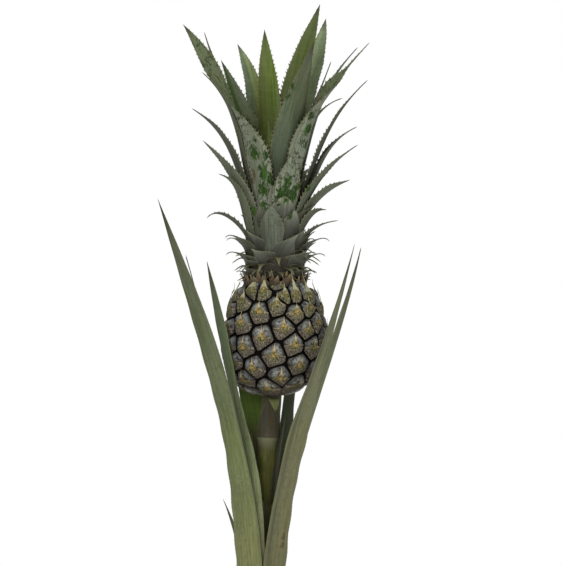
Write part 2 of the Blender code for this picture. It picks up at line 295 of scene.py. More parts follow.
def toneOf(leaf, share, t):
    # the leaf's green at each point: its own colour, with painted light and shade where its tints, its left
    # tint, its crease and its shade carry them
    tintsAndShading = np.array([linear(tint)[:3] for tint in leaf["tintsAndShading"]])
    tone = np.stack([np.interp(t, np.linspace(0, 1, len(tintsAndShading)), tintsAndShading[:, i]) for i in range(3)], -1)
    if leaf["leftTintAndShade"]:
        facing = 1 if math.cos(math.radians(leaf["azimuth"])) > 0 else -1
        left = 1 - smoothStep(share * facing, *toneForm["leftEdge"])
        tone = fromTo((tone, np.array(linear(leaf["leftTintAndShade"])[:3])), left[..., None])
    if leaf["paintedCreaseShade"]:
        # painted shade in the crease, with a duller painted shade on the strip to its right
        apart = share - leaf["paintedCreaseShade"]
        paintedCreaseShade = toneForm["creaseShadeDepth"] * np.exp(-(apart / toneForm["creaseWidth"]) ** 2)
        paintedStripShade = toneForm["stripShadeDepth"] * smoothStep(apart, 0.0, toneForm["stripWidth"])
        tone = tone * (1 - paintedCreaseShade - paintedStripShade)[..., None]
    # painted shade on the left side, where the trough turns from the light
    if leaf["shade"]:
        start, end, depth = leaf["shade"]
        tone = tone * (1 - depth * (1 - smoothStep(share, start, end)))[..., None]
    return tone


def footRadius(leaf):
    if "footRadius" in leaf:
        return leaf["footRadius"]
    return columnRadius(leaf["foot"]) + bladeForm["gap"] + 0.5 * bladeForm["thickness"]


def midline(leaf, t):
    # a curve that leaves the foot and reaches the tip at the leaf's two leans, in degrees from upright
    foot = np.array([footRadius(leaf), leaf["foot"]])
    tip = np.array([leaf["reach"], leaf["top"]])
    handle = leaf["pull"] * np.linalg.norm(tip - foot)
    leanFoot, leanTip = np.radians(leaf["leans"])
    rise = foot + handle * np.array([math.sin(leanFoot), math.cos(leanFoot)])
    fall = tip - handle * np.array([math.sin(leanTip), math.cos(leanTip)])
    t = np.asarray(t, float)[..., None]
    u = 1 - t
    outHeight = u ** 3 * foot + 3 * u * u * t * rise + 3 * u * t * t * fall + t ** 3 * tip
    outward, side = directions(leaf)
    sideways = leaf["drift"] * t ** leaf["bend"]
    if leaf["bow"]:
        size, power = leaf["bow"]
        sideways = sideways + size * np.sin(math.pi * t ** power) ** 2
    points = outHeight[..., :1] * outward + sideways * side
    points[..., 0] += axisX(leaf["foot"])
    points[..., 2] = outHeight[..., 1]
    return points


def bladeSection(leaf, t, share):
    # points, normals and edge directions of the middle surface, t down the rows and share across
    middle = midline(leaf, t)
    step = bladeForm["step"]
    along = unit(midline(leaf, np.minimum(t + step, 1)) - midline(leaf, np.maximum(t - step, 0)))
    side = directions(leaf)[1]
    side = unit(side - along * (along @ side)[:, None])
    inward = np.cross(along, side)
    if leaf["twist"]:
        start, end, degrees = leaf["twist"]
        turn = math.radians(degrees) * smoothStep(t, start, end)[:, None]
        cosine, sine = np.cos(turn), np.sin(turn)
        side, inward = side * cosine + inward * sine, inward * cosine - side * sine
    fromAxis = np.hypot(middle[:, 0] - axisX(leaf["foot"]), middle[:, 1])
    curve = np.minimum(fromAxis, leaf["trough"] * leaf["width"])
    angle = share[None, :] * (halfWidth(leaf, t) / curve)[:, None]
    sine, cosine = np.sin(angle)[..., None], np.cos(angle)[..., None]
    curve, side, inward = curve[:, None, None], side[:, None, :], inward[:, None, :]
    points = middle[:, None, :] + side * curve * sine + inward * curve * (1 - cosine)
    return points, inward * cosine - side * sine, side * cosine + inward * sine, along


def addSheath(leaf, points, normals):
    # rows of points under the foot, which follow the column down
    foot, form = leaf["foot"], bladeForm
    depths = np.arange(leaf["sheath"], form["lowest"], -form["sheathStep"])
    end = plantForm["fruitTop"] if foot > plantForm["fruitTop"] else 0.0
    depths = depths[foot - depths > end + form["lowest"]]
    if "footRadius" in leaf or not len(depths):
        return points, normals, 0
    axis = np.array([axisX(foot), 0.0, 0.0])
    radial = unit((points[0] - axis) * [1, 1, 0])
    below = []
    for depth in depths:
        wider = columnRadius(foot - depth) - columnRadius(foot) - form["tuck"] * depth
        below.append(points[0] + radial * wider - [0, 0, depth])
    normals = np.concatenate([np.repeat(normals[:1], len(depths), 0), normals])
    return np.concatenate([np.array(below), points]), normals, len(depths)


def markSpots(across, along, spots, length, width):
    # how strongly each point lies in one of the spots: (share of length, share of half width, size)
    found = np.zeros(np.shape(across))
    for t, share, size in spots:
        apart = np.hypot(across - 0.5 * width * share, (along - t * length) / toneForm["spotLength"])
        found = np.maximum(found, 1 - apart / size)
    return found


def marginLift(share, run, t, seed):
    # how far a blade's waves lift it, mostly at the margins, and each margin at its own time
    form = bladeForm
    shift = seed * form["waveShift"] + form["marginShift"] * np.sign(share)
    swing = form["wave"] * np.sin(2 * math.pi * run / form["waveLength"] + shift)
    return swing * share ** 4 * np.clip(run / form["waveFrom"], 0, 1) * (1 - t ** 3)


def addBlade(shape, leaf, seed, finishes=(0, 1, 2)):
    # the inner face, the outer face and the spines have a finish each
    form = bladeForm
    columns = leaf.get("columns", form["columns"])
    probe = midline(leaf, np.linspace(0, 1, 40))
    length = np.linalg.norm(np.diff(probe, axis=0), axis=1).sum()
    rows = max(form["fewestRows"], round(length / form["rowLength"]))
    t = np.linspace(0, 1, rows + 1)[:-1]
    even = np.linspace(-1, 1, columns)
    share = np.sin(0.5 * math.pi * even) * form["crowding"] + even * (1 - form["crowding"])
    points, normals = bladeSection(leaf, t, share)[:2]
    across = share[None, :] * halfWidth(leaf, t)[:, None]
    points, normals, below = addSheath(leaf, points, normals)
    run = np.concatenate([-form["sheathStep"] * np.arange(below, 0, -1), t * length])[:, None]
    across = np.concatenate([np.repeat(across[:1], below, 0), across])
    t = np.concatenate([np.zeros(below), t])[:, None]
    rows += below
    points = points + normals * marginLift(share, run, t, seed)[..., None]
    half = 0.5 * form["thickness"] * leaf["thickness"] * (1 - share ** 2) ** form["edgePower"]
    half = half * (1 - (1 - form["tipThickness"]) * t) + form["midrib"] * (1 - np.abs(share)) ** 0.5
    upper, lower = points + normals * half[..., None], points - normals * half[..., None]

    shareRows, tRows = np.broadcast_arrays(share, t)
    rubbed, stained = (np.maximum(markSpots(across, run, leaf[key], length, leaf["width"]), 0)
                       for key in ("rubs", "stains"))
    marks = rubbed - stained  # rubbed above 0, stained below
    offset = seed * form["patternStep"]
    place = np.stack([shareRows, tRows * (form["paleEnd"] if leaf["paleTip"] else 1.0), marks], -1)
    where = np.stack([across, np.broadcast_to(run, across.shape), np.full(across.shape, offset)], -1)
    tone = toneOf(leaf, shareRows, tRows)
    tips = midline(leaf, np.array([1.0])), [[0, 1, 0]], [[0, length, offset]], tone[-1:, 0]
    sides = (upper, lower), (place, place), (where, where), (tone, tone)
    points, place, where, tone = (
        np.concatenate([np.concatenate([inner, outer[:, -2:0:-1]], 1).reshape(-1, 3), tip])
        for (inner, outer), tip in zip(sides, tips))

    around = 2 * columns - 2
    last = (rows - 1) * around
    faces = ringFaces(rows, around, flip=True)
    faces += [[last + i, rows * around, last + (i + 1) % around] for i in range(around)]
    faces.append(list(range(around)))
    ring = [finishes[0]] * (columns - 1) + [finishes[1]] * (columns - 1)
    addPart(shape, points, faces, place, where, ring * rows + [finishes[1]], tone)
    if leaf["spines"]:
        addSpines(shape, leaf, length, seed, finishes[2])


# small hooks along both margins, which lean towards the leaf's tip
spineForm = dict(
    gap=4.3, size=2.8, sizes=(0.75, 1.15), tipSize=0.4, jitter=0.2,
    first=0.08, last=0.97, sunk=0.4, patternPlace=9.0,
    # a hook's four points at its foot, four halfway and its own tip, in units of its size, as
    # (outwards, upwards, towards the leaf's tip)
    points=((0, 0, -0.75), (0, 0.2, 0), (0, 0, 0.6), (0, -0.2, 0), (0.5, 0, -0.04), (0.5, 0.1, 0.22),
            (0.5, 0, 0.42), (0.5, -0.1, 0.22), (1, 0, 0.85)),
)


def addSpines(shape, leaf, length, seed, finish):
    form = spineForm
    hook = np.array(form["points"])
    sides = ringFaces(2, 4) + [[4 + i, 4 + (i + 1) % 4, 8] for i in range(4)] + [[3, 2, 1, 0]]
    count = int(length / form["gap"])
    random = np.random.default_rng(int(seed) + 11)
    for edge in (-1.0, 1.0):
        t = (np.arange(count) + 0.5 + random.uniform(-form["jitter"], form["jitter"], count)) / count
        t = t[(t > form["first"]) & (t < form["last"])]
        points, normals, edges, along = bladeSection(leaf, t, np.array([edge]))
        out, up = edges[:, 0] * edge, normals[:, 0]
        root = points[:, 0] + up * marginLift(edge, t * length, t, seed)[:, None] - out * form["sunk"]
        size = form["size"] * leaf["spines"] * random.uniform(*form["sizes"], len(t))
        size = size * (1 - (1 - form["tipSize"]) * t ** 2)
        hooks = root[:, None] + size[:, None, None] * (hook @ np.stack([out, up, along], 1))
        faces = [[corner + len(hook) * i for corner in (face[::-1] if edge > 0 else face)]
                 for i in range(len(t)) for face in sides]
        offset = seed * bladeForm["patternStep"]
        where = [[edge * form["patternPlace"], run, offset] for run in t * length]
        where = np.repeat(where, len(hook), 0)
        addPart(shape, hooks, faces, np.zeros(where.shape), where, finish)


leafFinish = dict(
    roughness=0.55, specular=0.16, bloomRoughness=(0.45, 0.7),
    place=("across", "along", "marks"),
    patterns=dict(
        # veins are about 0.7 mm apart, drawn twice as coarse so that they show
        streak=("TexNoise", (1.5, 46.0, 1.0), {"Detail": 2.0}),
        # faint bands across the blade every 5 mm or so, and slow changes over a few centimetres
        cross=("TexNoise", (40.0, 5.0, 1.0), {"Detail": 2.0}),
        drift=("TexNoise", (16.0, 60.0, 1.0), {"Detail": 3.0}),
        # mottling over half a centimetre, and the ragged edges of rubs and stains
        mottle=("TexNoise", (5.0, 13.0, 1.0), {"Detail": 5.0, "Roughness": 0.65}),
        ragged=("TexNoise", (2.6, 4.4, 1.0), {"Detail": 5.0, "Roughness": 0.7}),
        # thin wandering cracks in the bloom about a centimetre apart, and specks every 4 mm or so
        crack=("TexNoise", (7.0, 16.0, 1.0), {"Detail": 3.0, "Roughness": 0.6}),
        speck=("TexVoronoi", (3.4, 4.4, 1.0), {}),
    ),
    darker=(0.76, 1.1), lighter=(1.18, 0.95),  # value and saturation of the leaf's own green
    outside=(1.0, 0.15), inside=(0.2, 0.45),   # how strong the bloom and the cross bands are
    # what thins the bloom, from where to where, and to what share of it
    veils=(("drift", 0.25, 0.6, 0.35), ("streak", 0.2, 0.65, 0.55)),
    specks=(0.25, 0.6, 0.15, 0.85),            # between two blooms, how strong the specks are at each
    wear=(("rub", 0.5), ("stain", -0.6)),      # how far a mark lifts the ragged noise
    rubbed=("#2e520c", ("#1a2e08", 1.0, ("streak", 0.35, 0.6))),
    layers=(
        "darker",
        ("lighter", 1.0, ("streak", 0.3, 0.7)),
        ("darker", 0.6, ("drift", 0.4, 0.7)),
        ("lighter", "banding", ("cross", 0.5, 0.65)),
        ("lighter", 0.35, ("mottle", 0.52, 0.66)),
        ("darker", 0.45, ("mottle", 0.48, 0.36)),
        ("#888d7c", "bloomed"),
        ("#7d7f5c", 0.5, ("edge", 0.88, 1.0)),
        ("#2c3a1b", "bloom", ("crack", 0.47, 0.49), ("crack", 0.53, 0.51), ("drift", 0.36, 0.48)),
        ("#3a4529", 0.6, ("rub", 0.7, 0.76)),      # a dull rim round each rubbed patch
        ("rubbed", 0.95, ("rub", 0.77, 0.81)),
        ("#4e3d18", 0.7, ("stain", 0.66, 0.85)),
        ("#272c1a", "specked", ("speck", 0.19, 0.12), ("drift", 0.38, 0.5)),
        ("#37301f", 0.8, ("along", 0.9, 1.0)),     # a dry tip
    ),
    bump=("streak", 0.3, 0.4),
)
spineFinish = dict(
    roughness=0.4, specular=0.5,
    patterns=dict(drift=("TexNoise", (12.0, 12.0, 1.0), {"Detail": 2.0})),
    layers=("#3d3a26", ("#666242", "drift")),
)


def makeLeafMaterial(name, outer):
    # pineapple leaf: tough and satin, and silvery with waxy scales outside that rub off in patches
    form = leafFinish
    material, tree, values = startMaterial(name, form)
    bloomShare, values["banding"] = form["outside" if outer else "inside"]
    tone = addNode(tree, "Attribute", attribute_name="tone")
    for shade in ("darker", "lighter"):
        value, saturation = form[shade]
        inputs = {"Color": tone, "Value": value, "Saturation": saturation}
        values[shade] = addNode(tree, "HueSaturation", inputs)
    values["edge"] = addNode(tree, "Math", {0: values["across"]}, operation="ABSOLUTE")
    for mark, weight in form["wear"]:
        inputs = {0: values["marks"], 1: weight, 2: values["ragged"]}
        values[mark] = addNode(tree, "Math", inputs, operation="MULTIPLY_ADD")
    values["rubbed"] = layColours(tree, values, form["rubbed"])
    # each piece's own bloom comes with its object's alpha
    values["bloom"] = addNode(tree, "ObjectInfo", output="Alpha")
    low, high, least, most = form["specks"]
    inputs = {"Value": values["bloom"], "From Min": low, "From Max": high, "To Min": least, "To Max": most}
    values["specked"] = addNode(tree, "MapRange", inputs, interpolation_type="SMOOTHSTEP")
    bloomed = addNode(tree, "Math", {0: values["bloom"], 1: bloomShare}, operation="MULTIPLY")
    for pattern, none, full, least in form["veils"]:
        inputs = {"Value": values[pattern], "From Min": none, "From Max": full, "To Min": least}
        veil = addNode(tree, "MapRange", inputs, interpolation_type="SMOOTHSTEP")
        bloomed = addNode(tree, "Math", {0: bloomed, 1: veil}, operation="MULTIPLY")
    values["bloomed"] = bloomed
    satin, dull = form["bloomRoughness"]
    roughness = addNode(tree, "MapRange", {"Value": bloomed, "To Min": satin, "To Max": dull})
    tree.links.new(roughness, tree.nodes["Principled BSDF"].inputs["Roughness"])
    return finishMaterial(material, values, form)


# hard horny spines, from dark brown to olive
hornySpine = makeMaterial("hornySpine", spineFinish)
leafMaterials = [makeLeafMaterial("satinLeafInside", outer=False),
                 makeLeafMaterial("silveryLeafOutside", outer=True), hornySpine]


def growLeaf(name, form, seed, nodes=()):
    # a leaf's seed sets its waves, its spines and its place in the patterns; its bloom is how silvery
    # it is outside
    leaf = {**leafForm, **form}
    shape = newShape()
    addBlade(shape, leaf, seed)
    piece = finishShape(name, shape, leafMaterials, nodes)
    piece.color = (1, 1, 1, leaf["bloom"])


# the long leaves of the stem
longForm = dict(footShare=1.1, bend=2.4, spines=0.45, sheath=24.0, bloom=0.22,
                tintsAndShading=("#76733f", "#6d6f3d", "#5f6a3b", "#5a603f", "#474930"))
longLeaves = dict(
    leaf_left_short=dict(
        azimuth=-98, foot=30, reach=38, top=264, leans=(7, 25), width=17, drift=-1, taper=2.4,
        twist=(0.1, 0.6, 65)),
    # its crease is a line of painted shade near its right margin
    leaf_left_front=dict(
        azimuth=-28, foot=50, reach=97, top=548, leans=(8.3, 14.2), width=30.6, drift=-58.3, bend=2.5,
        taper=3.3, bow=(8.0, 1.0), waist=(0.56, 0.23, 0.14), paintedCreaseShade=0.95, columns=29,
        tintsAndShading=("#7f7c4c", "#787946", "#656e3f", "#525a3a", "#44452e"),
        stains=[(0.535, -0.8, 6), (0.5, -0.9, 5)]),
    # its crease and its darker left side are painted shade, where the trough turns from the light
    leaf_right_front=dict(
        azimuth=33, foot=76, reach=89, top=506, leans=(7.6, 8.0), width=31.6, drift=46.0, bend=2.35,
        taper=1.5, bow=(-10.0, 0.87), waist=(0.6, -0.3, 0.086), paintedCreaseShade=-0.72, shade=(-1.0, 0.1, 0.42),
        columns=29, tintsAndShading=("#69653a", "#6d693f", "#716e48", "#6c6e4e", "#5a5b41"),
        stains=[(0.35, 0.25, 4), (0.33, 0.25, 4), (0.42, 0.97, 5), (0.47, 0.97, 5), (0.52, 0.97, 5),
                (0.37, 0.97, 4)]),
    leaf_left_back=dict(azimuth=-80, foot=94, reach=72, top=496, leans=(5, 16), width=22, drift=-10),
    leaf_right_back=dict(
        azimuth=66.3, foot=103, reach=96, top=503, leans=(-3, 11.7), width=20, drift=13.9, bend=2.5,
        taper=7, bow=(-6.0, 0.82), waist=(0.36, -0.18, 0.094)),
    # its light tints are painted light, on a leaf whose faces turn into the shade
    leaf_left_inner=dict(
        azimuth=-46.9, foot=118, reach=59, top=490, leans=(8, 11.2), width=34, drift=-12.7, bend=3.4,
        taper=3.8, bow=(12.0, 0.76), waist=(0.69, 0.5, 0.165), columns=25,
        tintsAndShading=("#86845e", "#7f8258", "#6f7850", "#5c6a45", "#505a40")),
    leaf_behind_middle=dict(azimuth=176, foot=116, reach=34, top=292, leans=(4, 8), width=26),
    # the bright green in the middle of its tints is painted light
    leaf_behind_left=dict(
        azimuth=-151, foot=286, reach=71, top=433, leans=(14, 34), width=36, drift=-3, footShare=0.4,
        bend=1.5, bloom=0.04, tintsAndShading=("#4a4430", "#545432", "#6f8a3c", "#6e8048", "#75844e", "#75844e")),
    leaf_behind_right=dict(
        azimuth=124, foot=160, reach=63, top=443, leans=(8, 14), width=30, drift=29, bend=1.4, taper=3,
        bow=(-3.0, 1.36), bloom=0.08, tintsAndShading=("#3a4026", "#424b2c", "#5a6444")),
)
for index, (name, form) in enumerate(longLeaves.items()):
    growLeaf(name + "_blade", {**longForm, **form}, firstSeed["long"] + index, [name])
print("stage: long leaves")

# the low leaves, from the lowest to the last one
lowLeaves = dict(count=7, start=20.0, turn=137.5, foot=(6.0, 25.2), reach=(175.0, 121.0),
                 top=(92.0, 170.0), leanFoot=(30.0, 18.0), leanTip=(88.0, 64.0))
lowForm = dict(width=34.0, footShare=0.62, spines=0.5, sheath=18.0, tintsAndShading=longForm["tintsAndShading"],
               bloom=longForm["bloom"])
for index in range(lowLeaves["count"]):
    share = index / (lowLeaves["count"] - 1)
    foot, reach, top, leanFoot, leanTip = (
        fromTo(lowLeaves[key], share) for key in ("foot", "reach", "top", "leanFoot", "leanTip"))
    name = f"leaf_low_{index + 1}"
    azimuth = (lowLeaves["start"] + lowLeaves["turn"] * index) % 360
    form = dict(azimuth=azimuth, foot=foot, reach=reach, top=top, leans=(leanFoot, leanTip))
    growLeaf(name + "_blade", {**lowForm, **form}, firstSeed["low"] + index, [name])
print("stage: low leaves")

# the crown, from the lowest leaf up
# the darker roots of the crown's tints are painted shade deep in the crown
crownForm = dict(tintsAndShading=("#383d2e", "#4a503c", "#51553f"), bloom=0.3)
silver = dict(tintsAndShading=("#434a34", "#525b3c", "#545f38"), bloom=0.9)
crownLeaves = [
    dict(azimuth=-82, foot=511, reach=65, top=530, leans=(24, 148), width=17, drift=-4, taper=3),
    dict(azimuth=72, foot=508, reach=59, top=528, leans=(30, 86), width=14, drift=13, bend=1, taper=1.4),
    dict(azimuth=-6, foot=507, reach=37, top=543, leans=(6, 12), width=27, bloom=0.42,
         tintsAndShading=("#1d1f17", "#3a3f31", "#5a6052")),
    dict(azimuth=70, foot=518, reach=49, top=538, leans=(26, 105), width=18, drift=10, bend=1.2, taper=3.8),
    dict(azimuth=-62, foot=514, reach=57, top=572, leans=(22, 77), width=18, drift=-8, bend=1.8, taper=2.8),
    dict(azimuth=74, foot=528, reach=69, top=567, leans=(34, 69), width=25, drift=19, bend=1.3, taper=4),
    dict(azimuth=-48, foot=526, reach=61, top=604, leans=(13, 42), width=19, drift=-35, bend=1.2,
         rubs=[(0.12, 0.45, 6)]),
    dict(azimuth=62, foot=532, reach=75, top=600, leans=(24, 55), width=21, drift=27, taper=1.4,
         rubs=[(0.3, -0.8, 6), (0.1, 0.4, 5)]),
    dict(azimuth=100, foot=538, reach=79, top=618, leans=(26, 66), width=24, drift=-5, bend=1.6, taper=3.3),
    dict(azimuth=-74, foot=538, reach=77, top=635, leans=(18, 58), width=21, drift=-21, bend=1.8, taper=3.4,
         tintsAndShading=("#33382c", "#3c4133", "#454a39"), bloom=0.25),
    dict(azimuth=22, foot=536, reach=40, top=594, leans=(8, 10), width=32, drift=4, bloom=0.85,
         tintsAndShading=("#434a34", "#525b3c", "#47503a", "#353f24"),
         rubs=[(0.49, -0.1, 8), (0.25, -0.4, 9), (0.26, 0.35, 9), (0.66, 0.9, 6), (0.38, -0.15, 6),
               (0.24, 0.0, 8), (0.42, 0.75, 6), (0.36, 0.5, 6)]),
    dict(azimuth=80, foot=545, reach=87, top=662, leans=(21, 47), width=16, drift=15, taper=3,
         tintsAndShading=("#2f3427", "#3a4030", "#42462f"), bloom=0.2),
    dict(azimuth=-84, foot=550, reach=70, top=669, leans=(15, 49), width=18, bend=1.4, taper=3),
    dict(azimuth=82, foot=561, reach=65, top=644, leans=(17, 76), width=15, taper=2.3),
    dict(azimuth=-34, foot=548, reach=78, top=712, leans=(10, 31), width=35, drift=-52, bend=1.9, taper=2.5,
         twist=(0.12, 0.95, -132), bow=(-6.5, 1.4), waist=(0.52, 0.38, 0.2), trough=0.55,
         rubs=[(0.24, 0.15, 9), (0.21, 0.75, 6), (0.13, 0.35, 10), (0.09, 0.75, 9), (0.05, 0.2, 9),
               (0.3, 0.5, 4)],
         stains=[(0.13, -0.15, 6), (0.1, -0.5, 5)], **silver),
    dict(azimuth=50, foot=555, reach=93, top=695, leans=(15, 47), width=30, drift=28, bend=1.2, taper=2.9,
         twist=(0.2, 0.8, 72), bow=(-5, 0.75), trough=0.45, claw=(0.66, 0.84, 0.22),
         rubs=[(0.37, -0.25, 8), (0.1, 0.3, 6), (0.45, -0.6, 6), (0.28, 0.1, 5)],
         stains=[(0.55, 0.5, 6)], **silver),
    dict(azimuth=104, foot=556, reach=83, top=695, leans=(15, 45), width=25, drift=4),
    dict(azimuth=100, foot=564, reach=55, top=681, leans=(10, 21), width=17, drift=3, taper=2.7),
    dict(azimuth=-120, foot=555, reach=78, top=711, leans=(15, 19), width=19, drift=2, taper=2),
    # its dark left tint is painted shade on the half of its fold that turns from the light
    dict(azimuth=-146, foot=568, reach=41, top=682, leans=(8, 16), width=30, drift=35, bow=(5.0, 1.0),
         tintsAndShading=("#3a4529", "#5a6447", "#56604a"), leftTintAndShade="#33481a", bloom=0.25,
         rubs=[(0.45, -0.1, 8), (0.38, -0.2, 8), (0.42, 0.3, 6)]),
    dict(azimuth=20, foot=562, reach=49, top=695, leans=(8, 17), width=33, drift=21, bloom=0.26,
         tintsAndShading=("#1f2c18", "#2a3b1e", "#39492a", "#465034", "#464c30", "#2a2a1a"),
         rubs=[(0.68, -0.45, 5), (0.6, -0.6, 4.5)]),
    dict(azimuth=150, foot=564, reach=72, top=725, leans=(11, 11), width=31, drift=-15, bend=1.4, taper=4.1,
         tintsAndShading=("#5b6a3f", "#84946a", "#869370"), bloom=0.2),
    dict(azimuth=-150, foot=558, reach=63, top=700, leans=(12, 42), width=26, drift=6, bend=1.6, taper=3.5,
         tintsAndShading=("#5a662e", "#7c8748", "#84906a"), leftTintAndShade="#6b7a5c", bloom=0.2),
    dict(azimuth=147, foot=571, reach=42, top=736, leans=(7, 17), width=33, drift=-24, taper=3.2,
         tintsAndShading=("#3a4020", "#424a1c", "#4a5620", "#5a6440"), bloom=0.08),
    dict(azimuth=-162, foot=573, reach=27, top=712, leans=(2, 5), width=28, drift=2, taper=2.9,
         tintsAndShading=("#4b5331", "#53602e", "#5a6c28", "#596535"), leftTintAndShade="#5c6632", bloom=0.03),
    dict(azimuth=180, foot=556, reach=62, top=646, leans=(16, 30), width=27),
    dict(azimuth=-163, foot=540, reach=80, top=612, leans=(24, 60), width=25),
    dict(azimuth=164, foot=545, reach=82, top=630, leans=(22, 58), width=25),
    dict(azimuth=178, foot=520, reach=76, top=566, leans=(34, 84), width=22),
    dict(azimuth=-148, foot=524, reach=58, top=574, leans=(28, 70), width=21),
    dict(azimuth=146, foot=526, reach=60, top=580, leans=(28, 70), width=21),
    dict(azimuth=-160, foot=508, reach=60, top=524, leans=(40, 120), width=16),
    dict(azimuth=155, foot=511, reach=62, top=530, leans=(40, 115), width=16),
]
for index, form in enumerate(crownLeaves):
    name = f"crown_leaf_{index + 1:02d}"
    growLeaf(name + "_blade", {**crownForm, **form}, firstSeed["crown"] + index, [name])

# young leaves in the heart of the crown
heartLeaves = dict(count=5, start=150.0, turn=137.5, reach=(6.0, 14.0), top=(630.0, 616.0), bloom=0.05)
heartForm = dict(foot=574.0, width=15.0, leans=(2, 14), columns=9, spines=0.6,
                 tintsAndShading=("#55602f", "#5f6d36", "#667344"))

# short scales that close the column between the leaves, with none where the broad scales are: between
# two azimuths and below a height
scales = dict(count=46, start=9.0, turn=137.5, turnJitter=6.0, foot=(479.0, 560.0),
              width=(28.0, 21.0), rise=(15.0, 25.0), riseJitter=(0.85, 1.15), reach=13.0,
              reachJitter=(0.5, 1.3), open=(-55.0, 60.0, 562.0), draws=5, bloom=0.1)
scaleForm = dict(leans=(6.0, 64.0), claw=(0.45, 0.9, 0.35), taper=2.0, columns=11, spines=0.5,
                 tintsAndShading=("#232219", "#424132", "#5c5b4a"))

# on the front: upright leaves in front of the tall ones, broad scales below them, then scales that
# bend down into a hook over the fruit
# the near-black roots of these tints are painted shade under the leaves above
frontForm = dict(bend=1.4, claw=(0.2, 0.95, 0.3), taper=1.9, columns=15, spines=0.5, paleTip=True,
                 tintsAndShading=("#151410", "#32322a", "#5b5d52", "#878b74"))
upright = dict(claw=None, paleTip=False)
hooked = dict(leans=(4, 140), pull=0.9, claw=(0.3, 0.8, 0.3),
              tintsAndShading=("#1a1410", "#2c261d", "#4f4e3a", "#757a56"))
frontScales = [
    dict(azimuth=32, foot=510, reach=33, top=538, drift=2, width=25, leans=(4, 20), taper=2.6,
         rubs=[(0.8, -0.3, 6)], **upright),
    dict(azimuth=-16, foot=518, reach=31, top=547, drift=-3, width=24, leans=(3, 10), taper=3,
         rubs=[(0.95, 0.0, 9), (0.8, 0.5, 6)], **upright),
    dict(azimuth=13, foot=518, reach=33, top=551, drift=2, width=27, leans=(3, 12), taper=5,
         rubs=[(0.93, 0.1, 6), (0.9, -0.6, 6), (0.95, 0.7, 5), (0.75, -0.4, 3)], **upright),
    dict(azimuth=13, foot=489, reach=35, top=515, drift=15, width=31, leans=(6, 44)),
    dict(azimuth=-18, foot=482, reach=35, top=501.5, drift=-13, width=36, leans=(6, 50)),
    dict(azimuth=-42, foot=498, reach=35, top=519, drift=-6, width=28, leans=(6, 46)),
    dict(azimuth=44, foot=499, reach=36, top=520, drift=6, width=28, leans=(6, 46)),
    dict(azimuth=-50, foot=478, reach=37, top=492, drift=-5, width=28, leans=(8, 80)),
    dict(azimuth=38, foot=481, reach=37, top=499, drift=8, width=31, leans=(8, 56)),
    {**hooked, **dict(azimuth=5, foot=477.5, reach=43, top=484, width=27, leans=(4, 150), pull=0.95,
                      claw=(0.25, 0.7, 0.34))},
    {**hooked, **dict(azimuth=-22, foot=475.5, reach=42, top=478, width=25, leans=(4, 150),
                      claw=(0.25, 0.7, 0.34))},
    {**hooked, **dict(azimuth=24, foot=475.5, reach=38, top=476, drift=3, width=25)},
    {**hooked, **dict(azimuth=50, foot=475.5, reach=40, top=478, drift=2, width=24, leans=(6, 140))},
    {**hooked, **dict(azimuth=-50, foot=475.5, reach=40, top=479, drift=-2, width=24, leans=(6, 140))},
]
smallHook = {**hooked, **dict(width=15, leans=(4, 130), pull=0.8, claw=(0.25, 0.8, 0.34))}
smallHooks = [  # azimuth, foot, reach and top
    (-8, 475, 37, 474.5), (38, 476, 38, 479), (-36, 475.5, 38, 476), (12, 475, 36, 473.5),
    (-62, 477, 39, 481), (55, 492, 36, 496.5), (67, 492, 40.5, 496), (77, 484, 45, 488),
    (60, 483, 39.5, 487), (71, 475.5, 39, 479), (-77, 482, 42.5, 487), (-67, 489, 39, 494),
    (104, 480, 44, 485), (-106, 476, 41, 480),
]
for row in smallHooks:
    frontScales.append({**smallHook, **dict(zip(("azimuth", "foot", "reach", "top"), row))})

# dry brown bits between the crown and the fruit, and withered bracts that stand round the neck
dryRings = [
    dict(kind="dry", count=38, first=0.0, jitter=5.0, drift=4.0, rise=(-3.0, 5.0), reach=(31.0, 37.0),
         width=(4.0, 8.0), leanTip=(70.0, 140.0),
         form=dict(foot=473.0, footRadius=25.0, leans=(30, None), columns=7, spines=0, thickness=0.6,
                   tintsAndShading=("#2a1a12", "#523a2c", "#7a6448"))),
    dict(kind="neck", count=34, first=0.5, jitter=7.0, drift=3.0, rise=(10.0, 19.0), reach=(30.0, 34.5),
         width=(6.0, 11.0), leanTip=(0.0, 30.0),
         form=dict(foot=465.5, footRadius=29.0, leans=(8, None), columns=9, spines=0.3, thickness=0.7,
                   taper=1.6, paleTip=True, tintsAndShading=("#241a12", "#4c392c", "#6c5a44", "#85805e"))),
]


def growHeart():
    shape = newShape()
    for index in range(heartLeaves["count"]):
        share = index / (heartLeaves["count"] - 1)
        reach, top = (fromTo(heartLeaves[key], share) for key in ("reach", "top"))
        azimuth = heartLeaves["start"] + heartLeaves["turn"] * index
        leaf = {**leafForm, **heartForm, "azimuth": azimuth, "reach": reach, "top": top}
        addBlade(shape, leaf, firstSeed["heart"] + index)
    return shape


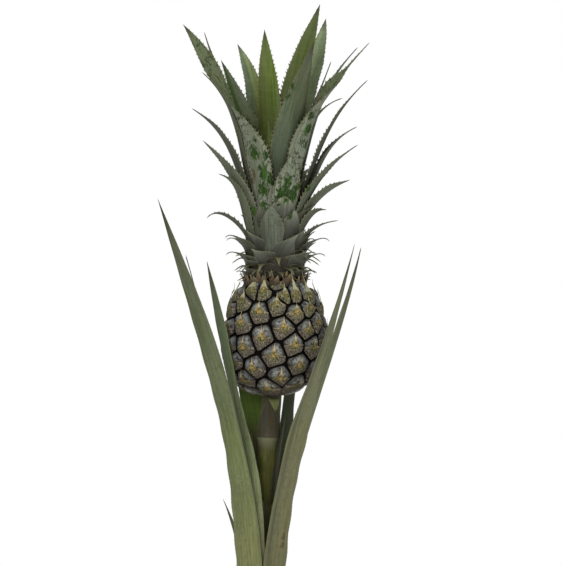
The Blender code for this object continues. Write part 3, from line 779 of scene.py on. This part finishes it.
def growScales(random):
    shape = newShape()
    left, right, height = scales["open"]
    for index in range(scales["count"]):
        share = index / (scales["count"] - 1)
        foot, width, rise = (fromTo(scales[key], share) for key in ("foot", "width", "rise"))
        azimuth = scales["start"] + scales["turn"] * index
        azimuth += random.uniform(-scales["turnJitter"], scales["turnJitter"])
        azimuth = (azimuth + 180) % 360 - 180
        if left < azimuth < right and foot < height:
            continue
        reach = columnRadius(foot) + scales["reach"] * random.uniform(*scales["reachJitter"])
        top = foot + rise * random.uniform(*scales["riseJitter"])
        form = dict(azimuth=azimuth, foot=foot, reach=reach, top=top, width=width)
        addBlade(shape, {**leafForm, **scaleForm, **form}, firstSeed["scale"] + index)
    for index, form in enumerate(frontScales):
        addBlade(shape, {**leafForm, **frontForm, **form}, firstSeed["front"] + index)
    for ring in dryRings:
        for index in range(ring["count"]):
            reach, rise, width = (random.uniform(*ring[key]) for key in ("reach", "rise", "width"))
            leaf = {**leafForm, **ring["form"], "reach": reach, "top": ring["form"]["foot"] + rise,
                    "width": width}
            turn = random.uniform(-ring["jitter"], ring["jitter"])
            leaf["azimuth"] = 360 / ring["count"] * (index + ring["first"]) + turn
            leaf["leans"] = (leaf["leans"][0], random.uniform(*ring["leanTip"]))
            leaf["drift"] = random.uniform(-ring["drift"], ring["drift"])
            addBlade(shape, leaf, firstSeed[ring["kind"]] + index)
    return shape


youngLeaves = finishShape("crown_young_leaves", growHeart(), leafMaterials)
youngLeaves.color = (1, 1, 1, heartLeaves["bloom"])
random = np.random.default_rng(scales["draws"])
shortScales = finishShape("crown_scales", growScales(random), leafMaterials)
shortScales.color = (1, 1, 1, scales["bloom"])
print("stage: crown leaves")

eyeForm = dict(
    turn=137.508, start=162.0, lift=0.9,               # the spiral of the eyes
    area=456.0, count=83, full=55, shrink=9.9,         # the eyes over the last full one are smaller
    groove=0.45, depth=4.6, corner=13.0, swell=0.7,    # a plump lozenge with a groove all round
    section=(3.4, 0.6), relief=0.6, reliefSize=5.0,    # how flat its top is, and the lumps on it
    rings=9, grooveRings=2, spokes=36, reachOfNeighbours=46.0,
    sunk=4.0, sunkFrom=(458.0, 471.0),                 # the small eyes at the top are sunk round the neck
    bare=4, speckled=7, spiky=(47, 65),                # the lowest have no bract, the top ones long spikes
    # the finish's unit, how far apart two eyes lie in the patterns, and how deep the grooves are
    unit=9.0, patternStep=5.0, skinDepth=3.6,
    # azimuth and length up the side of the eyes that stray from the spiral
    placed={4: (-8, 19), 7: (43, 23), 9: (-44, 30), 12: (10, 33), 17: (-25, 43), 20: (32, 46), 25: (0, 56),
            28: (49, 64), 30: (-36, 64), 33: (23, 66), 35: (-60, 64), 38: (-14, 73), 41: (40, 80),
            43: (-41, 86), 46: (10, 82), 48: (-66, 81), 49: (58, 87), 51: (-19, 97), 54: (26, 96),
            56: (-70, 100), 59: (2, 104), 62: (47, 101), 64: (-47, 107), 67: (14, 114), 69: (-71, 114),
            70: (54, 113), 72: (-18, 119), 75: (29, 115), 77: (-37, 119), 80: (3, 127)},
)


def fruitProfile():
    # the fruit's side from foot to top, with its length and the area below each point
    rise = 0.5 - 0.5 * np.cos(np.linspace(0, math.pi, 600))
    heights = fromTo((plantForm["fruitFoot"], plantForm["fruitTop"]), rise)
    radii = fruitRadius(heights)
    steps = np.hypot(np.diff(heights), np.diff(radii))
    run = np.concatenate([[0], np.cumsum(steps)])
    area = np.concatenate([[0], np.cumsum(math.pi * (radii[1:] + radii[:-1]) * steps)])
    return dict(height=heights, radius=radii, run=run, area=area)


profile = fruitProfile()


def onProfile(key, run):
    return np.interp(run, profile["run"], profile[key])


def shoulder(height):
    return eyeForm["sunk"] * smoothStep(height, *eyeForm["sunkFrom"])


def onFruit(azimuth, run, offset=0.0):
    # a point at an azimuth in degrees and a length up the fruit's side, and offset mm out of it
    step = 0.6
    run = np.clip(run, 0, profile["run"][-1])
    height, radius = (onProfile(key, run) for key in ("height", "radius"))
    rise, widen = (onProfile(key, run + step) - onProfile(key, run - step)
                   for key in ("height", "radius"))
    size = np.hypot(rise, widen)
    radius = radius + offset * rise / size
    height = height - offset * widen / size
    angle = np.radians(azimuth)
    return np.stack([axisX(height) + radius * np.sin(angle), -radius * np.cos(angle), height], -1)


def fruitEyes():
    eyes = []
    count = eyeForm["count"]
    for k in range(count):
        small = max(k - eyeForm["full"], 0)
        area = (k + eyeForm["lift"]) * eyeForm["area"] - eyeForm["shrink"] * small * (small + 1) / 2
        run = np.interp(area, profile["area"], profile["run"])
        azimuth, run = eyeForm["placed"].get(k, (eyeForm["start"] + eyeForm["turn"] * k, run))
        eyes.append(dict(number=k, azimuth=azimuth, run=run, radius=onProfile("radius", run),
                         sunk=shoulder(onProfile("height", run)), neighbours=[]))
    for eye in eyes:
        for other in eyes:
            turn = (other["azimuth"] - eye["azimuth"] + 180) % 360 - 180
            x = math.radians(turn) * 0.5 * (eye["radius"] + other["radius"])
            y = other["run"] - eye["run"]
            apart = math.hypot(x, y)
            if 0 < apart < eyeForm["reachOfNeighbours"]:
                eye["neighbours"].append((apart, math.atan2(y, x)))
    return eyes


def cellRadius(eye, angles):
    # how far the eye reaches at an angle: up to the lines halfway to its neighbours, with round corners
    total = np.zeros(np.shape(angles))
    for apart, direction in eye["neighbours"]:
        facing = np.maximum(np.cos(angles - direction), 0) / (0.5 * apart - eyeForm["groove"])
        total += facing ** eyeForm["corner"]
    return total ** (-1 / eyeForm["corner"])


def eyeSurface(eye, x, y, offset):
    # a point x mm across and y mm up from the eye's middle; the least radius is for the eyes at the poles
    radius = np.maximum(onProfile("radius", eye["run"] + 0.5 * y), 8)
    return onFruit(eye["azimuth"] + np.degrees(x / radius), eye["run"] + y, offset)


def domeHeight(reach):
    flat, steep = eyeForm["section"]
    return eyeForm["swell"] - eyeForm["depth"] * (1 - (1 - np.clip(reach, 0, 1) ** flat) ** steep)


def buildEyes(eyes):
    form = eyeForm
    shape = newShape()
    spokes, rings = form["spokes"], form["rings"]
    angles = np.linspace(0, 2 * math.pi, spokes, endpoint=False)
    reach = np.sin(np.linspace(0, math.pi / 2, rings + 1))[1:][::-1, None]
    last = (rings - 1) * spokes
    faces = ringFaces(rings, spokes)
    faces += [[last + i, last + (i + 1) % spokes, rings * spokes] for i in range(spokes)]
    # the outer rings take the black groove skin, painted shade in the grooves
    grooveFaces = form["grooveRings"] * spokes
    finish = [1] * grooveFaces + [0] * (len(faces) - grooveFaces)
    for index, eye in enumerate(eyes):
        offset = index * form["patternStep"]
        radius = reach * cellRadius(eye, angles)
        x, y = radius * np.cos(angles), radius * np.sin(angles)
        flat = np.stack([x, y, np.full(x.shape, offset)], -1)
        relief = form["relief"] * lumps(flat, form["reliefSize"]) * (1 - reach ** 4)
        points = eyeSurface(eye, x, y, domeHeight(reach) + relief - eye["sunk"])
        middle = eyeSurface(eye, np.zeros(1), np.zeros(1), np.array([form["swell"] - eye["sunk"]]))
        place = np.stack([x / form["unit"], y / form["unit"], np.broadcast_to(reach, x.shape)], -1)
        tone = np.full((rings * spokes + 1, 3), 1.0 if eye["number"] < form["speckled"] else 0.0)
        addPart(shape, np.concatenate([points.reshape(-1, 3), middle]), faces,
                np.concatenate([place.reshape(-1, 3), [[0, 0, 0]]]),
                np.concatenate([flat.reshape(-1, 3), [[0, 0, offset]]]), finish, tone)
    return shape


# the dry bract of each eye hugs its lower half, with thin wings, and a slender tip rises up the middle
# a pair of values is for an eye with a short tip and for one with a spike
eyeBractForm = dict(
    columns=21, rows=14, crowding=1.6,
    under=(188, 352), cover=(0.95, 0.97),         # the angles of its lower edge, and its share of the eye
    length=(1.0, 1.75), uneven=0.12,              # as a share of the way up to the eye's top
    wingRise=(0.1, 0.45), wingPower=1.5, tipPower=(7, 4),
    wingFoot=0.5, least=0.3,                      # how tall it is at its two ends, and at the least
    lengthTurn=2.4, swayTurn=1.3, wingTurn=0.37,  # how it changes from one eye to the next
    tones=7,                                      # how many tones of olive there are
    ragged=1.3, raggedSize=2.2, relief=0.45, reliefSize=2.4,
    pinch=0.62, pinchEnd=0.8, sway=0.9,           # how the tip narrows, and how far it sways
    proud=0.35, lip=0.7, tipRise=(2.2, 3.7), riseFrom=0.05, risePower=1.2,
    keel=(0.8, 2.4), keelWidth=3.0, hug=0.93,
    standsFrom=0.45, lean=0.45,                   # where the tip leaves the eye, and how much it leans on
)


def raised(eye, x, y, offset, straight):
    # the eye's surface up to y = straight, and from there a line that stands up more than the fruit
    near = np.minimum(y, straight)
    low, high = (eyeSurface(eye, x, near + step, offset) for step in (-0.5, 0.5))
    lean = eyeBractForm["lean"]
    onward = unit(lean * unit(high - low) + np.array([0, 0, 1 - lean]))
    return eyeSurface(eye, x, near, offset) + onward * (y - near)[..., None]


def buildBracts(eyes):
    form = eyeBractForm
    shape = newShape()
    columns, rows = form["columns"], form["rows"]
    v = np.linspace(0, 1, rows)[:, None]
    u = np.linspace(-1, 1, columns)
    for index, eye in enumerate(eyes):
        if eye["number"] < eyeForm["bare"]:
            continue
        across, down = form["cover"]
        under = np.radians(np.linspace(*form["under"], 60))
        edge = cellRadius(eye, under) * down
        lowX, lowY = edge * np.cos(under), edge * np.sin(under)
        side = np.where(u < 0, -lowX[0], lowX[-1])
        x = side * across * np.sign(u) * np.abs(u) ** form["crowding"]
        wing = np.abs(x) / side
        bottom = np.interp(x, lowX, lowY)

        top = cellRadius(eye, np.array([math.pi / 2]))[0]
        spiky = smoothStep(eye["number"], *eyeForm["spiky"])
        uneven = form["uneven"] * math.sin(index * form["lengthTurn"])
        tipY = top * (fromTo(form["length"], spiky) + uneven)
        wingY = np.where(x < 0, lowY[0], lowY[-1]) + form["wingFoot"]
        wingHeight = top * fromTo(form["wingRise"], index * form["wingTurn"] % 1)
        edgePoints = np.stack([x, np.full(columns, index * eyeForm["unit"]), np.zeros(columns)], -1)
        peak = wingY + (wingHeight - wingY) * (1 - wing) ** form["wingPower"]
        peak += (tipY - wingHeight) * (1 - wing) ** fromTo(form["tipPower"], spiky)
        peak += form["ragged"] * lumps(edgePoints, form["raggedSize"]) * wing ** 0.5
        y = fromTo((bottom, np.maximum(peak, bottom + form["least"])), v)

        upTip = np.clip(y / tipY, 0, 1)
        pinch = form["pinch"] * smoothStep(y, 0.0, form["pinchEnd"] * tipY)
        xs = x * (1 - pinch) + form["sway"] * math.sin(index * form["swayTurn"]) * upTip ** 2
        reach = np.hypot(xs, y) / cellRadius(eye, np.arctan2(y, xs))
        flat = np.stack([xs, y, np.full(y.shape, index * eyeForm["patternStep"])], -1)
        start = form["riseFrom"] * top
        height = domeHeight(np.minimum(reach, form["hug"])) + form["proud"] - eye["sunk"]
        climb = np.clip((y - start) / (tipY - start), 0, 1) ** form["risePower"]
        height += fromTo(form["tipRise"], spiky) * climb
        height += form["lip"] * v ** 4 * (1 - (1 - wing) ** 4)
        height -= fromTo(form["keel"], spiky) * np.minimum(np.abs(xs) / form["keelWidth"], 1) * upTip
        height += form["relief"] * lumps(flat, form["reliefSize"])
        points = raised(eye, xs, y, height, form["standsFrom"] * top)
        place = np.stack([xs / eyeForm["unit"], y / eyeForm["unit"], np.broadcast_to(v, y.shape)], -1)
        tone = np.broadcast_to([spiky, index % form["tones"] / form["tones"], 0.0], points.shape)
        addPart(shape, points, gridFaces(rows, columns), place, flat, 0, tone)
    return shape


# waxy rind of an unripe berry: slate grey with a purple cast, mottled, with a painted highlight on the
# upper half, and darker towards the edges with painted shade, black in the grooves
rindFinish = dict(
    roughness=0.4, specular=0.35,
    place=("side", "height", "reach"), tone=("speckled",),
    patterns=dict(
        mottle=("TexNoise", (3.6, 3.6, 1.0), {"Detail": 5.0}),   # clouds 3 or 4 mm across, for the painted highlight and the dark mottling
        cast=("TexNoise", (14.0, 14.0, 4.0), {"Detail": 2.0}),   # each eye's own cast
        scuff=("TexNoise", (1.0, 2.6, 1.0), {"Detail": 3.0}),    # scuffs a millimetre wide
        fleck=("TexNoise", (1.4, 1.4, 1.0), {"Detail": 2.0}),    # dark flecks of about a millimetre
    ),
    layers=(
        "#5d605a",
        ("#54504a", 1.0, ("cast", 0.35, 0.65)),
        ("#939995", 0.8, ("height", -0.1, 0.7), ("mottle", 0.3, 0.5)),   # a painted highlight on the upper half
        ("#2a2522", 0.85, ("mottle", 0.52, 0.4)),
        ("#1f1a17", 0.7, ("fleck", 0.46, 0.36)),
        ("#a09a84", 0.6, ("scuff", 0.54, 0.64)),
        ("#aaa595", 0.8, ("speckled", 0.0, 1.0), ("fleck", 0.5, 0.6)),   # pale specks on the lowest eyes
        ("#6f6053", 0.65, ("height", 0.0, -0.9)),
        # darker towards the edges: a browner rind and painted shade into the grooves
        ("#241e1a", 0.8, ("reach", 0.45, 0.9)),
        ("#060504", 1.0, ("reach", 0.85, 0.94)),                         # painted shade, black in the groove
    ),
    bump=("mottle", 0.4, 0.6),
)

# dry papery bract: olive round an ochre patch, greyish pink below, with pale fibres, fringe and tip
eyeBractFinish = dict(
    roughness=0.7, specular=0.1,
    place=("side", "height", "rise"), tone=("spiky", "own"),
    patterns=dict(
        fibre=("TexNoise", (0.8, 3.0, 1.0), {"Detail": 4.0}),    # fibres a little under a millimetre apart
        blotch=("TexNoise", (3.2, 3.2, 1.0), {"Detail": 4.0}),   # 3 mm blotches that fray the patch's edge
        fleck=("TexNoise", (1.3, 1.6, 1.0), {"Detail": 2.0}),    # dark flecks of about a millimetre
    ),
    olive=("#565a32", ("#66633a", "own")), tip=("#c4ae80", ("#aba882", "spiky")),
    fray=0.9, ochre=(0.2975, 0.85),  # how far the patches fray, and how strong the ochre is on an
                                     # eye with a spike and on one without
    layers=(
        "#625a50",
        ("#67634f", "spiky"),
        ("olive", 0.85, ("centre", 0.35, 0.0)),
        ("#bbb193", 0.8, ("fibre", 0.54, 0.68)),
        ("#ae8e50", "ochre", ("centre", -0.1, -0.3), ("height", -0.45, -0.2), ("fleck", 0.35, 0.55)),
        ("#241c15", 0.85, ("fleck", 0.5, 0.38)),
        ("#9c9270", 0.75, ("rise", 0.8, 0.97), ("blotch", 0.42, 0.58)),  # the frayed fringe
        ("tip", 0.85, ("height", 0.2, 0.6)),
    ),
    bump=("fibre", 0.6, 0.8),
)


def makeEyeBractMaterial():
    form = eyeBractFinish
    material, tree, values = startMaterial("dryBract", form)
    flat = addNode(tree, "CombineXYZ", {0: values["side"], 1: values["height"]})
    fromMiddle = addNode(tree, "VectorMath", {0: flat}, output="Value", operation="LENGTH")
    inputs = {0: values["blotch"], 1: -form["fray"], 2: fromMiddle}
    values["centre"] = addNode(tree, "Math", inputs, operation="MULTIPLY_ADD")
    weak, strong = form["ochre"]
    inputs = {"Value": values["spiky"], "From Min": 1.0, "From Max": 0.3, "To Min": weak, "To Max": strong}
    values["ochre"] = addNode(tree, "MapRange", inputs, interpolation_type="SMOOTHSTEP")
    for name in ("olive", "tip"):
        values[name] = layColours(tree, values, form[name])
    return finishMaterial(material, values, form)


# two colours of each plain finish, the sizes of its grain in mm, and its roughness
plainFinishes = dict(
    shadedGrooveSkin=("#060504", "#0f0c0a", (3.0, 3.0, 1.0), 0.9),    # matt skin, painted nearly black as the shade in the grooves
    ringedStem=("#4a3f26", "#6d6440", (9.0, 2.5, 1.0), 0.75),       # corky, with the rings of old leaves
    shadedLeafBase=("#20261a", "#39422a", (4.0, 12.0, 1.0), 0.7),   # packed leaf bases, satin, dark with painted shade
)
grooveSkin, ringedStem, darkCore = (
    makeMaterial(name, dict(
        roughness=roughness, specular=0.08, patterns=dict(grain=("TexNoise", sizes, {"Detail": 4.0})),
        layers=(low, (high, 1.0, ("grain", 0.35, 0.65))), bump=("grain", 0.4, 0.6)))
    for name, (low, high, sizes, roughness) in plainFinishes.items())


def buildTurned(heights, radius, relief=None, around=72):
    # a closed round body along the plant's axis, with lumps of a height and a size
    shape = newShape()
    angles = np.linspace(0, 2 * math.pi, around, endpoint=False)
    reach = radius(heights)[:, None] * np.ones(around)
    z = np.broadcast_to(heights[:, None], reach.shape)
    if relief:
        height, size = relief
        even = np.stack([np.cos(angles) * reach, np.sin(angles) * reach, z], -1)
        reach = reach + height * lumps(even, size)
    points = np.stack([axisX(z) + reach * np.cos(angles), reach * np.sin(angles), z], -1)
    where = np.stack([np.broadcast_to(angles * reach.max(), reach.shape), z, np.zeros(reach.shape)], -1)
    corners = list(range(reach.size))
    faces = ringFaces(len(heights), around) + [corners[:around][::-1], corners[-around:]]
    addPart(shape, points, faces, np.zeros(points.shape), where)
    return shape


eyes = fruitEyes()
# a black skin under the grooves, painted shade between the eyes
skin = buildTurned(np.linspace(plantForm["fruitFoot"], plantForm["fruitTop"], 60),
                   lambda height: fruitRadius(height) - eyeForm["skinDepth"] - shoulder(height))
finishShape("fruit_flesh", skin, [grooveSkin], ["fruit"])
finishShape("fruit_eyes", buildEyes(eyes), [makeMaterial("waxyRind", rindFinish), grooveSkin])
finishShape("fruit_bracts", buildBracts(eyes), [makeEyeBractMaterial()])
print("stage: fruit,", len(eyes), "eyes")

# smooth fleshy stalk: streaked olive, satin, with painted light below the node where the leaves shade it,
# and a pale swollen node with a painted highlight
stalkFinish = dict(
    roughness=0.5, specular=0.25, jitter=6.0,  # how far the blotches push the heights below about
    patterns=dict(
        streak=("TexNoise", (1.4, 40.0, 1.0), {"Detail": 3.0}),   # fibres along it, as coarse as they show
        blotch=("TexNoise", (8.0, 16.0, 1.0), {"Detail": 3.0}),   # blotches of about a centimetre
    ),
    layers=(
        "#54513a",
        # painted light: lighter below the node, where the leaves shade the stalk
        ("#7a7a3c", 1.0, ("aboveNode", 0.0, -26.0)),
        ("#474922", 0.6, ("streak", 0.35, 0.65)),
        ("#3e4a1a", 0.5, ("blotch", 0.5, 0.65)),
        # pale just under the node: its own paler skin, with a painted highlight on the swelling
        ("#8f8f6e", 0.8, ("aboveNode", -14.0, 0.0), ("aboveNode", 4.0, 1.0)),
        ("#a5967a", 0.8, ("aboveNode", 1.0, 2.0), ("aboveNode", 3.5, 2.5)),
    ),
    bump=("streak", 0.3, 0.4),
)


def makeStalkMaterial():
    form = stalkFinish
    material, tree, values = startMaterial("fleshyStalk", form)
    height = addNode(tree, "SeparateXYZ", {0: values["where"]}, output="Y")
    inputs = {0: values["blotch"], 1: form["jitter"], 2: height}
    height = addNode(tree, "Math", inputs, operation="MULTIPLY_ADD")
    middle = plantForm["nodeHeight"] + 0.5 * form["jitter"]
    values["aboveNode"] = addNode(tree, "Math", {0: height, 1: middle}, operation="SUBTRACT")
    return finishMaterial(material, values, form)


stem = buildTurned(np.linspace(0, plantForm["stemTop"], 90), stemRadius,
                   plantForm["stemRelief"])
finishShape("stem_relief", stem, [ringedStem], ["stem"])
stalk = buildTurned(np.linspace(plantForm["stemTop"], plantForm["fruitFoot"], 110), stalkRadius,
                    plantForm["stalkRelief"])
finishShape("stalk_relief", stalk, [makeStalkMaterial()], ["stalk"])
# the heart of the crown, dark with painted shade among the leaves' feet
core = buildTurned(np.linspace(plantForm["fruitTop"], plantForm["coreTop"], 60),
                   lambda height: coreRadius(height) - plantForm["coreDepth"])
finishShape("crown_heart", core, [darkCore], ["crown_core"])

# clasping bracts on the stalk
bractForm = dict(footShare=1.0, spines=0.3, paleTip=True, sheath=3.0, bloom=0.12,
                 tintsAndShading=("#3c3b26", "#424129", "#3d3a26"))
stalkBracts = dict(
    bract_low=dict(azimuth=4, foot=190, reach=14.5, top=264, leans=(1, 2), width=22, taper=8,
                   tintsAndShading=("#5c6044", "#686c4c", "#74735a")),
    bract_left=dict(azimuth=-72, foot=238, reach=12, top=330, leans=(0, 0), width=22, taper=3),
    bract_right=dict(azimuth=84, foot=264, reach=20, top=344, leans=(2, 8), width=22, taper=3),
    bract_top=dict(azimuth=-2, foot=325, reach=14.5, top=361, leans=(0, 2), width=27, taper=3, sheath=2.0,
                   claw=(-0.1, 1.3, 0.3), tintsAndShading=("#4a4230", "#39342a", "#403a28"),
                   stains=[(0.2, 0.2, 3), (0.4, 0.25, 3), (0.6, 0.2, 3), (0.8, 0.3, 3)]),
)
for index, (name, form) in enumerate(stalkBracts.items()):
    growLeaf(name + "_blade", {**bractForm, **form}, firstSeed["stalk"] + index, [name])
# a small one that folds down under the fruit
foldedBract = dict(azimuth=7, foot=358, reach=24, top=347.5, leans=(62, 168), width=12, drift=1.5, sheath=0,
                   spines=0.3, tintsAndShading=("#666b40", "#6a6e44", "#5a5c38"), bloom=0.1)
growLeaf("bract_folded_blade", foldedBract, firstSeed["folded"])
print("stage: stem, stalk and bracts")

# collars of small leaves with hooked claws round the foot of the crown, with none within an azimuth of
# the front, where the broad scales are; the jitter is of the azimuth, the reach and the height
collarForm = dict(hooks=9, jitter=(7.0, 4.0, 2.5), open=48.0, draws=8, bloom=0.12)
hookForm = dict(width=27.0, footShare=1.0, taper=1.7, claw=(0.22, 0.72, 0.33), leans=(14, 150), spines=0.6,
                thickness=0.8, columns=11, paleTip=True, sheath=6.0,
                tintsAndShading=("#2a291f", "#4b4b3e", "#686a5a", "#7b8066"))
collars = dict(
    crown_collar_low=dict(foot=474.5, start=70, reach=39, rise=4),
    crown_collar_middle=dict(foot=485.0, start=95, reach=47, rise=9),
    crown_collar_high=dict(foot=496.0, start=88, reach=51, rise=14),
)


def growCollar(form, seed, random):
    shape = newShape()
    for hook in range(collarForm["hooks"]):
        turn, longer, higher = (random.uniform(-most, most) for most in collarForm["jitter"])
        azimuth = (form["start"] + 360 / collarForm["hooks"] * hook + turn + 180) % 360 - 180
        if abs(azimuth) < collarForm["open"]:
            continue
        leaf = {**leafForm, **hookForm, "azimuth": azimuth, "foot": form["foot"],
                "reach": form["reach"] + longer, "top": form["foot"] + form["rise"] + higher}
        addBlade(shape, leaf, seed + hook)
    return shape


random = np.random.default_rng(collarForm["draws"])
for row, (name, form) in enumerate(collars.items()):
    collar = growCollar(form, firstSeed["collar"] + 10 * row, random)
    piece = finishShape(name + "_hooks", collar, leafMaterials, [name])
    piece.color = (1, 1, 1, collarForm["bloom"])
print("stage: collars")

studio = dict(
    centre=(0.01805, 0.0, 0.46885), distance=3.0,  # in metres
    millimetresAcross=537.7, sensor=36.0,
    softboxes=dict(  # place, size and watts
        key=((-1.1, -2.2, 2.0), 1.4, 40.0),
        fill=((1.8, -1.8, 1.0), 1.8, 24.0),
        above=((0.0, 0.6, 2.4), 1.6, 16.0),
    ),
    ambient=0.45, floorRadius=1.6, floorColour="#e9e9e7",
)


def addCamera():
    data = bpy.data.cameras.new("camera")
    data.sensor_fit = "VERTICAL"
    data.sensor_height = studio["sensor"]
    data.lens = studio["sensor"] * studio["distance"] / (studio["millimetresAcross"] * mm)
    camera = bpy.data.objects.new("camera", data)
    x, y, z = studio["centre"]
    camera.location = (x, y - studio["distance"], z)
    camera.rotation_euler = (math.pi / 2, 0, 0)
    bpy.context.scene.collection.objects.link(camera)
    bpy.context.scene.camera = camera


def addSoftbox(name, place, size, watts):
    data = bpy.data.lights.new(name, "AREA")
    data.size = size
    data.energy = watts
    lamp = bpy.data.objects.new(name, data)
    lamp.location = place
    aim = Vector(studio["centre"]) - Vector(place)
    lamp.rotation_euler = aim.to_track_quat("-Z", "Y").to_euler()
    bpy.context.scene.collection.objects.link(lamp)


def addFloor(sides=96):
    mesh = bpy.data.meshes.new("floor")
    turns = [2 * math.pi * i / sides for i in range(sides)]
    radius = studio["floorRadius"]
    corners = [(radius * math.cos(turn), radius * math.sin(turn), 0) for turn in turns]
    mesh.from_pydata(corners, [], [list(range(sides))])
    # a pale matt floor
    colour = linear(studio["floorColour"])
    mesh.materials.append(newMaterial("paleFloor", Base_Color=colour, Roughness=0.9))
    floor = bpy.data.objects.new("floor", mesh)
    bpy.context.scene.collection.objects.link(floor)


def lightWorld():
    # a white backdrop, whose light on the plant is dimmer than it looks
    world = bpy.data.worlds.new("studio")
    bpy.context.scene.world = world
    world.use_nodes = True
    tree = world.node_tree
    background = tree.nodes["Background"]
    background.inputs["Color"].default_value = (1, 1, 1, 1)
    seen = addNode(tree, "LightPath", output="Is Camera Ray")
    strength = addNode(tree, "MapRange", {"Value": seen, "To Min": studio["ambient"], "To Max": 1.0})
    tree.links.new(strength, background.inputs["Strength"])
    bpy.context.scene.view_settings.view_transform = "Standard"


addCamera()
for name, (place, size, watts) in studio["softboxes"].items():
    addSoftbox(name, place, size, watts)
addFloor()
lightWorld()
print("stage: studio")
